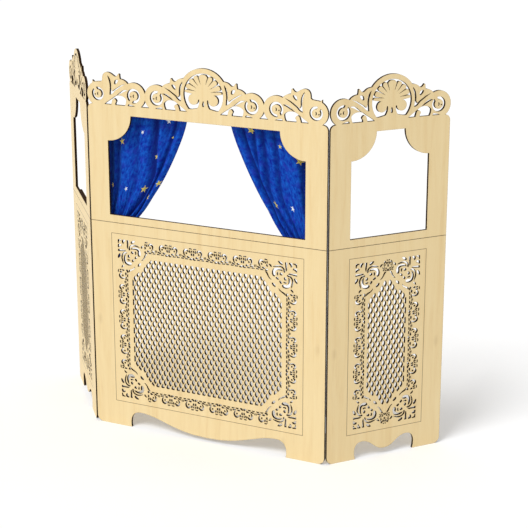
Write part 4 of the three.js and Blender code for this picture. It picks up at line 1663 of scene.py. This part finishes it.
@dataclass
class CurtainRail:
    """The beech rod behind the centre window and the two brackets that carry it."""

    end_round: float = 0.0012
    bracket_bevel: float = 0.0010

    def build(self) -> None:
        """Builds the rod and the brackets."""
        low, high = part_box("curtain_rod")
        half, radius, soft = (high.x - low.x) / 2, (high.z - low.z) / 2, self.end_round
        mesh = turned_mesh([
            (0, -half), (radius - soft, -half), (radius - soft * 0.3, -half + soft * 0.3),
            (radius, -half + soft), (radius, half - soft),
            (radius - soft * 0.3, half - soft * 0.3), (radius - soft, half), (0, half),
        ], 40)
        mesh.transform(Matrix.Translation((low + high) / 2) @ Matrix.Rotation(QUARTER, 4, "Y"))
        self.dress(mesh, "curtain_rod", Grain.LEVEL)
        # From the world to a flat drawing that looks along -X.
        end_on = Matrix(((0, 1, 0, 0), (0, 0, 1, 0), (1, 0, 0, 0), (0, 0, 0, 1)))
        for side in Side:
            node = f"{side.word}_rod_bracket"
            low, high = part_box(node)
            rings = [eased(ring) for ring in outlines_of(node, end_on)]
            mesh = routed_plate(rings, -high.x, -low.x, self.bracket_bevel)
            mesh.transform(end_on.inverted())
            self.dress(mesh, node, Grain.UPRIGHT)

    def dress(self, mesh: Mesh, node: str, grain: Grain) -> None:
        """Finishes a beech piece and puts it in its CAD node's place."""
        mesh.materials.append(OiledBeech(grain).material())
        keep(plain_object(f"{node}_oiled", mesh), "centre", "beech", node)


def smoothly(table: tuple[tuple[float, ...], ...], at: float) -> list[float]:
    """Reads a table of rows by their first number, with smooth curves between the rows.

    Args:
        table: rows in rising order of their first number.
        at: the first number to read at.

    Returns:
        The row's other numbers.
    """
    last = len(table) - 1
    k = next((i for i in range(last) if at < table[i + 1][0]), last - 1)
    rows = [table[max(0, min(last, i))] for i in (k - 1, k, k + 1, k + 2)]
    span = rows[2][0] - rows[1][0]
    t = min(1.0, max(0.0, (at - rows[1][0]) / span))
    t2, t3 = t * t, t * t * t
    result = []
    for c in range(1, len(table[0])):
        slope_in, slope_out = (
            (b[c] - a[c]) / max(1e-9, b[0] - a[0]) * span for a, b in zip(rows, rows[2:])
        )
        result.append(
            rows[1][c] * (2 * t3 - 3 * t2 + 1) + slope_in * (t3 - 2 * t2 + t)
            + rows[2][c] * (3 * t2 - 2 * t3) + slope_out * (t3 - t2)
        )
    return result


def ramped(low: float, high: float, value: float) -> float:
    """Returns 0 below low, 1 above high and a smooth rise between them."""
    t = min(1.0, max(0.0, (value - low) / (high - low)))
    return t * t * (3 - 2 * t)


def sewn_cloth(
    name: str, points: list[Vector], wide: int, places: list[Point], finish: BlueCotton,
    thickness: float, painted_shades: list[float] | None = None, turned_over: bool = False,
) -> Piece:
    """Makes a piece of cloth from a grid of points.

    Args:
        name: the piece's name.
        points: the cloth's middle, row after row.
        wide: points in a row.
        places: each point's place on the cut cloth.
        finish: the cloth's finish.
        thickness: the cloth's thickness.
        painted_shades: how much painted shade each point's colour gets, in the folds' valleys.
        turned_over: whether the rows run the other way round.

    Returns:
        The cloth as one plain mesh.
    """
    faces = []
    for r in range(len(points) // wide - 1):
        for c in range(wide - 1):
            a, b = r * wide + c, (r + 1) * wide + c
            quad = (a, b, b + 1, a + 1)
            faces.append(quad[::-1] if turned_over else quad)
    mesh = bpy.data.meshes.new("cloth")
    mesh.from_pydata(points, [], faces)
    layer = mesh.uv_layers.new(name="cloth")
    for loop in mesh.loops:
        layer.data[loop.index].uv = places[loop.vertex_index]
    # Painted shade: stored per point as the fold attribute that the cotton reads.
    if painted_shades:
        mesh.attributes.new("fold", "FLOAT", "POINT").data.foreach_set("value", painted_shades)
    mesh.materials.append(finish.material())
    for polygon in mesh.polygons:
        polygon.use_smooth = True
    piece = plain_object(name, mesh)
    solid = piece.modifiers.new("cloth", "SOLIDIFY")
    solid.thickness, solid.offset = thickness, 0
    evaluated_mesh(piece)
    return piece


@dataclass
class DrawnCurtain:
    """A curtain gathered on the rod, drawn to its side and tied there.

    Shares run down the cloth from the rod, 1 at the tie, and across it from its outer edge.
    """

    side: Side
    stars: tuple[tuple[float, float, float, float, bool], ...]
    folds: tuple[Point, ...]
    seed: int
    inset: float = 0.066
    spread: float = 0.339
    drop: float = 0.522
    tail_share: float = 1.22
    seam_share: float = 0.0275
    cut_width: float = 0.38
    cut_length: float = 0.68
    thickness: float = 0.0010
    fold_depth: float = 0.0104
    # Painted shade: how dark the colour gets at the bottom of the deepest valleys.
    fold_dye: float = 0.78
    rod_behind: float = 0.034
    columns: int = 230
    rows: int = 130
    pocket_rows: int = 16
    pocket_radius: float = 0.0072
    pocket_from: float = -62.0
    pocket_turn: float = 304.0

    # Down the drop: outer edge, inner edge, fold depth, distance behind the board, fine folds.
    shape: tuple[tuple[float, ...], ...] = (
        (0.012, 0, 1.01, 0.22, 1, 0.45), (0.06, 0, 1.005, 0.5, 1, 0.3),
        (0.16, -0.012, 0.955, 0.8, 1, 0.16), (0.262, -0.027, 0.888, 0.95, 1, 0.12),
        (0.375, -0.035, 0.805, 1, 1, 0.12), (0.483, -0.038, 0.716, 1, 1, 0.14),
        (0.565, -0.038, 0.64, 1, 0.98, 0.18), (0.646, -0.038, 0.557, 0.95, 0.95, 0.24),
        (0.73, -0.037, 0.475, 0.9, 0.88, 0.3), (0.808, -0.033, 0.382, 0.8, 0.78, 0.4),
        (0.9, -0.027, 0.246, 0.62, 0.6, 0.5), (0.975, -0.022, 0.104, 0.38, 0.47, 0.6),
        (1.025, -0.022, 0.104, 0.38, 0.47, 0.6), (1.1, -0.03, 0.13, 0.5, 0.47, 0.6),
        (1.22, -0.035, 0.145, 0.6, 0.47, 0.5),
    )

    @staticmethod
    def band(across: float) -> float:
        """Shapes the hemmed inner edge: a deep crease beside a round band.

        Args:
            across: share across the cloth.

        Returns:
            The fold's height, from -1 to 1.
        """
        crease, crest, edge = 0.868, 0.935, 1.0
        if across < crest:
            return -math.cos(math.pi * (across - crease) / (crest - crease))
        return math.cos(0.6 * math.pi * (across - crest) / (edge - crest))

    def main_fold(self, across: float, down: float) -> float:
        """Returns the main folds' height at a point of the cloth, from -1 to 1.

        The folds hang more upright than the slanting cloth, and gather only near the tie. The
        places of their ridges and valleys are the curtain's own.

        Args:
            across: share across the cloth.
            down: share down the drop.

        Returns:
            The height, positive towards the audience.
        """
        outer, inner = smoothly(self.shape, min(1.0, down))[:2]
        upright = 0.85 * (1 - ramped(0.45, 0.92, down))
        sway = 0.008 * math.sin(5.1 * down + self.seed) * math.sin(math.pi * across)
        place = across * (1 + upright * (inner - outer - 1)) + sway
        body = smoothly(self.folds, place)[0]
        edge = ramped(0.80, 0.86, across)
        return (1 - edge) * body + edge * self.band(across)

    def waves(self, across: float, down: float) -> tuple[float, float]:
        """Puts fine folds beside the main ones.

        Args:
            across: share across the cloth.
            down: share down the drop.

        Returns:
            The main and the fine folds' displacement towards the puppeteer, from -1 to 1.
        """
        start, turn = self.seed, 2 * math.pi
        place = across + 0.006 * math.sin(7.3 * down + 2 * start) * math.sin(math.pi * across)
        fine = (
            0.6 * math.sin(turn * 19.4 * place + 2.3 * start + 0.6 * math.sin(5 * down))
            + 0.4 * math.sin(turn * 31.0 * place + start)
        )
        return -self.main_fold(across, down), fine

    def point(self, across: float, down: float, rod: Vector) -> Vector:
        """Returns a point of the hung cloth.

        Args:
            across: share across the cloth, from its outer edge.
            down: share down the drop.
            rod: a point on the rod's axis.

        Returns:
            The point in the world.
        """
        outer, inner, fold, depth, fines = smoothly(self.shape, down)
        main, fine = self.waves(across, down)
        x = self.inset + self.spread * (outer + (inner - outer) * across)
        wave = self.fold_depth * (fold * (1 - 0.35 * fines) * main + 0.45 * fines * fine)
        y = rod.y - self.rod_behind + self.rod_behind * depth + wave
        return Vector((self.side.value * (0.5 - x), y, rod.z - self.drop * down))

    def hung_share(self, row: float) -> float:
        """Returns the share down the drop of a row, counted from the pocket's seam."""
        return self.seam_share + (self.tail_share - self.seam_share) * row / self.rows

    def cut_place(self, down: float) -> float:
        """Returns the place down the cut cloth, from the pocket's seam, of a share."""
        return (down - self.seam_share) * self.cut_length / self.tail_share

    def grid(self, rod: Vector) -> tuple[list[list[Vector]], list[float]]:
        """Returns the cloth's rows of points from the pocket's end to the tail.

        Args:
            rod: the middle of the rod.

        Returns:
            The rows, and their places down the cut cloth.
        """
        across = [c / self.columns for c in range(self.columns + 1)]
        rows, places = [], []
        # The pocket starts at the seam behind, goes up over the rod and down in front.
        for r in range(self.pocket_rows + 1):
            angle = math.radians(self.pocket_from + self.pocket_turn * r / self.pocket_rows)
            pinch = ramped(0.0, 0.16, min(r, self.pocket_rows - r) / self.pocket_rows)
            row = []
            for share in across:
                first = self.point(share, self.seam_share, rod)
                main, fine = self.waves(share, 0.0)
                radius = self.pocket_radius + 0.0007 * fine + 0.0004 * main
                y = rod.y + radius * math.cos(angle) + (first.y - rod.y) * 0.35 * (1 - pinch)
                row.append(Vector((first.x, y, rod.z + radius * math.sin(angle))))
            rows.append(row)
            places.append((r / self.pocket_rows - 1) * 2 * math.pi * self.pocket_radius)
        for r in range(1, self.rows + 1):
            down = self.hung_share(r)
            rows.append([self.point(share, down, rod) for share in across])
            places.append(self.cut_place(down))
        return rows, places

    def fold_shades(self, width: int, height: int) -> list[float]:
        """Paints shade into the colour of the folds' valleys, where less sun falls.

        Args:
            width: points across the cloth.
            height: rows of points.

        Returns:
            How much painted shade each point's colour gets.
        """
        painted_shades = []
        for r in range(height):
            down = self.hung_share(max(0, r - self.pocket_rows))
            for c in range(width):
                # Painted shade: darkest where the main fold dips farthest from the audience.
                depth = 0.5 - 0.5 * self.main_fold(c / (width - 1), down)
                painted_shades.append(self.fold_dye * depth * depth)
        return painted_shades

    def printed_stars(self, rod: Vector) -> tuple[PrintedStar, ...]:
        """Turns the stars' places in the hung curtain into places on the cut cloth.

        Args:
            rod: the middle of the rod.

        Returns:
            The stars of the print.
        """
        printed = []
        for x, z, radius, tilt, gold in self.stars:
            down = (rod.z - z) / self.drop
            outer, inner = smoothly(self.shape, down)[:2]
            share = ((x - self.inset) / self.spread - outer) / (inner - outer)
            place = (share * self.cut_width, self.cut_place(down))
            printed.append(PrintedStar(*place, radius, tilt, gold))
        return tuple(printed)

    def build(self) -> None:
        """Builds the curtain."""
        low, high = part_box("curtain_rod")
        rod = (low + high) / 2
        rows, downs = self.grid(rod)
        width = len(rows[0])
        places = [(c / (width - 1) * self.cut_width, down) for down in downs for c in range(width)]
        piece = sewn_cloth(
            f"{self.side.word}_curtain_cloth", [p for row in rows for p in row], width, places,
            BlueCotton(self.side.word, self.printed_stars(rod)), self.thickness,
            self.fold_shades(width, len(rows)), turned_over=self.side is Side.RIGHT,
        )
        keep(piece, "centre", "blue_cotton", f"{self.side.word}_curtain")


@dataclass
class TieStrap:
    """The cotton band that holds a curtain against the board's back."""

    side: Side
    thickness: float = 0.0012
    tab: float = 0.009
    corner: float = 0.0045
    bulge: float = 0.0008
    step: float = 0.0025
    rows: int = 10

    def path(self, half: float, depth: float) -> list[tuple[Vector, float]]:
        """Returns the band's middle line, as points and lengths along it.

        Args:
            half: half the loop's width, to the band's middle.
            depth: how far the loop reaches from the board's back.

        Returns:
            Points of x and distance behind the board, each with its length along.
        """
        rest = SEAT + self.thickness / 2
        corners = [Vector(p) for p in (
            (-half - self.tab, rest), (-half, rest), (-half, depth), (half, depth),
            (half, rest), (half + self.tab, rest),
        )]
        points = [corners[0]]
        for before, here, after in zip(corners, corners[1:], corners[2:]):
            into, out = (here - before).normalized(), (after - here).normalized()
            radius = self.thickness if here.y < depth / 2 else self.corner
            start, end = here - into * radius, here + out * radius
            points += [
                start * (1 - t) ** 2 + here * (2 * t * (1 - t)) + end * t * t
                for t in (k / 6 for k in range(7))
            ]
        points.append(corners[-1])
        full, total = [], 0.0
        for a, b in zip(points, points[1:]):
            steps = max(1, round((b - a).length / self.step))
            full += [a.lerp(b, k / steps) for k in range(steps)]
        full.append(points[-1])
        path = [(full[0], total)]
        for a, b in zip(full, full[1:]):
            total += (b - a).length
            path.append((b, total))
        return path

    def build(self) -> None:
        """Builds the strap."""
        node = f"{self.side.word}_curtain_strap"
        low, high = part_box(node)
        middle, height = (low + high) / 2, high.z - low.z
        half = (high.x - low.x) / 2 - self.tab - self.thickness / 2
        back = low.y - SEAT
        path = self.path(half, high.y - back - self.thickness / 2)
        length = path[-1][1]
        points, places = [], []
        for k, (spot, along) in enumerate(path):
            ahead = path[min(k + 1, len(path) - 1)][0] - path[max(k - 1, 0)][0]
            normal = Vector((-ahead.y, ahead.x)).normalized()
            # Away from its ends the band bulges a little and its edges ripple.
            free = ramped(0.004, 0.016, min(along, length - along))
            tall = height / 2 * (1 - 0.05 * free * (1 + math.sin(140 * along)))
            for r in range(self.rows + 1):
                share = 2 * r / self.rows - 1
                x, y = spot - normal * (self.bulge * free * share * share)
                points.append(Vector((middle.x + x, back + y, middle.z + share * tall)))
                places.append((along, share * height / 2))
        piece = sewn_cloth(
            f"{node}_cloth", points, self.rows + 1, places, BlueCotton("strap"), self.thickness
        )
        keep(piece, "centre", "blue_cotton", node)


@dataclass
class PhotoStudio:
    """A white floor, soft daylight from the upper left, and the photograph's camera."""

    focal_pixels: float = 1449.9128
    place: tuple[float, float, float] = (2.44256, -4.86340, 2.38969)
    yaw: float = 25.1804
    pitch: float = 15.6881
    rise_pixels: float = 45.0
    sky: float = 0.66
    sun: float = 1.55
    sun_spread: float = 26.0
    sun_from: tuple[float, float, float] = (-0.19, -0.62, 0.80)
    floor_reach: float = 90.0

    def stand_up(self, name: str, data: bpy.types.ID, turn: object) -> Piece:
        """Links a camera or a lamp into the scene with its turn.

        Args:
            name: the object's name.
            data: the camera or the lamp.
            turn: its turn, as a quaternion.

        Returns:
            The object.
        """
        piece = bpy.data.objects.new(name, data)
        bpy.context.scene.collection.objects.link(piece)
        piece.rotation_mode = "QUATERNION"
        piece.rotation_quaternion = turn
        return piece

    def camera(self) -> None:
        """Sets the camera where the photograph was taken from."""
        lens = bpy.data.cameras.new("photo_camera")
        lens.sensor_width = 36.0
        lens.lens = self.focal_pixels * lens.sensor_width / PHOTO_SIDE
        lens.shift_y = -self.rise_pixels / PHOTO_SIDE
        lens.clip_end = 200.0
        yaw, pitch = math.radians(self.yaw), math.radians(self.pitch)
        ahead = Vector((
            -math.sin(yaw) * math.cos(pitch), math.cos(yaw) * math.cos(pitch), -math.sin(pitch)
        ))
        camera = self.stand_up("photo_camera", lens, ahead.to_track_quat("-Z", "Y"))
        camera.location = self.place
        bpy.context.scene.camera = camera

    def floor(self) -> None:
        """Lays the floor."""
        mesh = bpy.data.meshes.new("floor")
        corners = ((-1, -1), (1, -1), (1, 1), (-1, 1))
        mesh.from_pydata(
            [(x * self.floor_reach, y * self.floor_reach, 0) for x, y in corners],
            [], [(0, 1, 2, 3)],
        )
        mesh.materials.append(WhitePaper().material())
        plain_object("floor", mesh)

    def light(self) -> None:
        """Lights the stand with a wide sun and an even sky that the camera sees as white."""
        sun = bpy.data.lights.new("window_light", "SUN")
        sun.energy = self.sun
        sun.angle = math.radians(self.sun_spread)
        self.stand_up("window_light", sun, Vector(self.sun_from).to_track_quat("Z", "Y"))
        world = bpy.data.worlds.new("white_studio")
        world.use_nodes = True
        bpy.context.scene.world = world
        tree = world.node_tree
        strength = ("ADD", self.sky, ("MULTIPLY", seen_rays(tree), 1 - self.sky))
        feed(tree, tree.nodes["Background"], {"Color": (1, 1, 1, 1), "Strength": strength})

    def build(self) -> None:
        """Sets the camera, the floor and the lights."""
        bpy.context.scene.view_settings.view_transform = "Standard"
        self.camera()
        self.floor()
        self.light()


# Each star of a hung curtain: x from the panel's side, height, radius, tilt, and gold or white.
STARS = {
    Side.LEFT: (
        (0.126, 1.168, 0.0180, 0.3, True), (0.218, 1.212, 0.0100, 0.1, False),
        (0.270, 1.118, 0.0140, 0.5, True), (0.284, 1.018, 0.0165, 0.2, True),
        (0.215, 0.986, 0.0195, 0.6, True), (0.234, 0.956, 0.0150, 0.0, True),
        (0.139, 0.981, 0.0115, 0.1, False), (0.330, 1.264, 0.0140, 0.4, False),
        (0.074, 0.987, 0.0120, 0.2, True), (0.342, 1.200, 0.0070, 0.5, True),
        (0.090, 0.700, 0.0130, 0.3, True),
    ),
    Side.RIGHT: (
        (0.326, 1.259, 0.0160, 0.2, True), (0.206, 1.211, 0.0100, 0.5, True),
        (0.129, 1.161, 0.0165, 0.1, True), (0.224, 0.987, 0.0175, 0.4, True),
        (0.153, 0.981, 0.0140, 0.2, False), (0.103, 1.128, 0.0130, 0.6, True),
        (0.255, 0.965, 0.0100, 0.1, False), (0.095, 0.705, 0.0130, 0.5, True),
    ),
}
# The main folds across a curtain at the rod: share from its outer edge, and height.
FOLDS = {
    Side.LEFT: (
        (0.0, -0.5), (0.05, -0.95), (0.095, -0.25), (0.14, -0.85), (0.22, 0.75), (0.32, 0.5),
        (0.40, -0.45), (0.47, 0.75), (0.54, 0.5), (0.60, -1.0), (0.65, -1.0), (0.695, 0.8),
        (0.74, 0.1), (0.79, -0.45), (0.84, 0.55), (0.92, -0.3), (1.0, 0.0),
    ),
    Side.RIGHT: (
        (0.0, -0.6), (0.05, 0.1), (0.11, -1.0), (0.19, -1.0), (0.225, 0.4), (0.30, 0.8),
        (0.37, 0.3), (0.43, 0.5), (0.485, -0.8), (0.53, 0.3), (0.58, 0.1), (0.635, -0.9),
        (0.685, 0.9), (0.74, -0.95), (0.80, 0.6), (0.86, -0.7), (0.92, 0.2), (1.0, 0.0),
    ),
}


def main() -> None:
    """Builds the whole stand and the studio round it."""
    logging.basicConfig(level=logging.INFO, format="%(message)s")
    PhotoStudio().build()
    PanelBoards(
        centre_panel(),
        LensField(
            middle=(0.5, 0.455), half_width=0.321, half_height=0.262, chamfer=0.086,
            first_shift=0.0,
        ),
        LaceBand(
            left=0.115, right=0.885, row_motifs=(0.341, 0.447, 0.553, 0.659),
            row_halves=(0.235, 0.765),
        ),
        EngravedLine(middle=(0.5, 0.4555), half_width=0.410, half_height=0.3515),
        eye_places=((0.1975, 0.042), (0.2965, 0.042), (0.453, 0.040)),
        batten_length=0.570, screw_columns=5, hinge_axes=(-0.0003, 1.0003),
    ).build()
    for side in Side:
        wing = wing_panel(side)
        PanelBoards(
            wing,
            LensField(
                middle=(0.2485, 0.455), half_width=0.082, half_height=0.262, chamfer=0.084,
                first_shift=1.0, margin=0.004,
            ),
            LaceBand(left=0.109, right=0.388, crown=0.2485),
            EngravedLine(middle=(0.2485, 0.4555), half_width=0.1635, half_height=0.3515),
            eye_places=((0.1975, 0.042),), batten_length=0.250, screw_columns=3,
            hinge_axes=(-0.0003 if side is Side.RIGHT else 0.4973,),
        ).build()
        WingHinges(side, wing).build()
    CurtainRail().build()
    for side, seed in ((Side.LEFT, 1), (Side.RIGHT, 4)):
        DrawnCurtain(side, STARS[side], FOLDS[side], seed).build()
    for side in Side:
        TieStrap(side).build()
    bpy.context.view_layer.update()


if __name__ == "__main__":
    main()
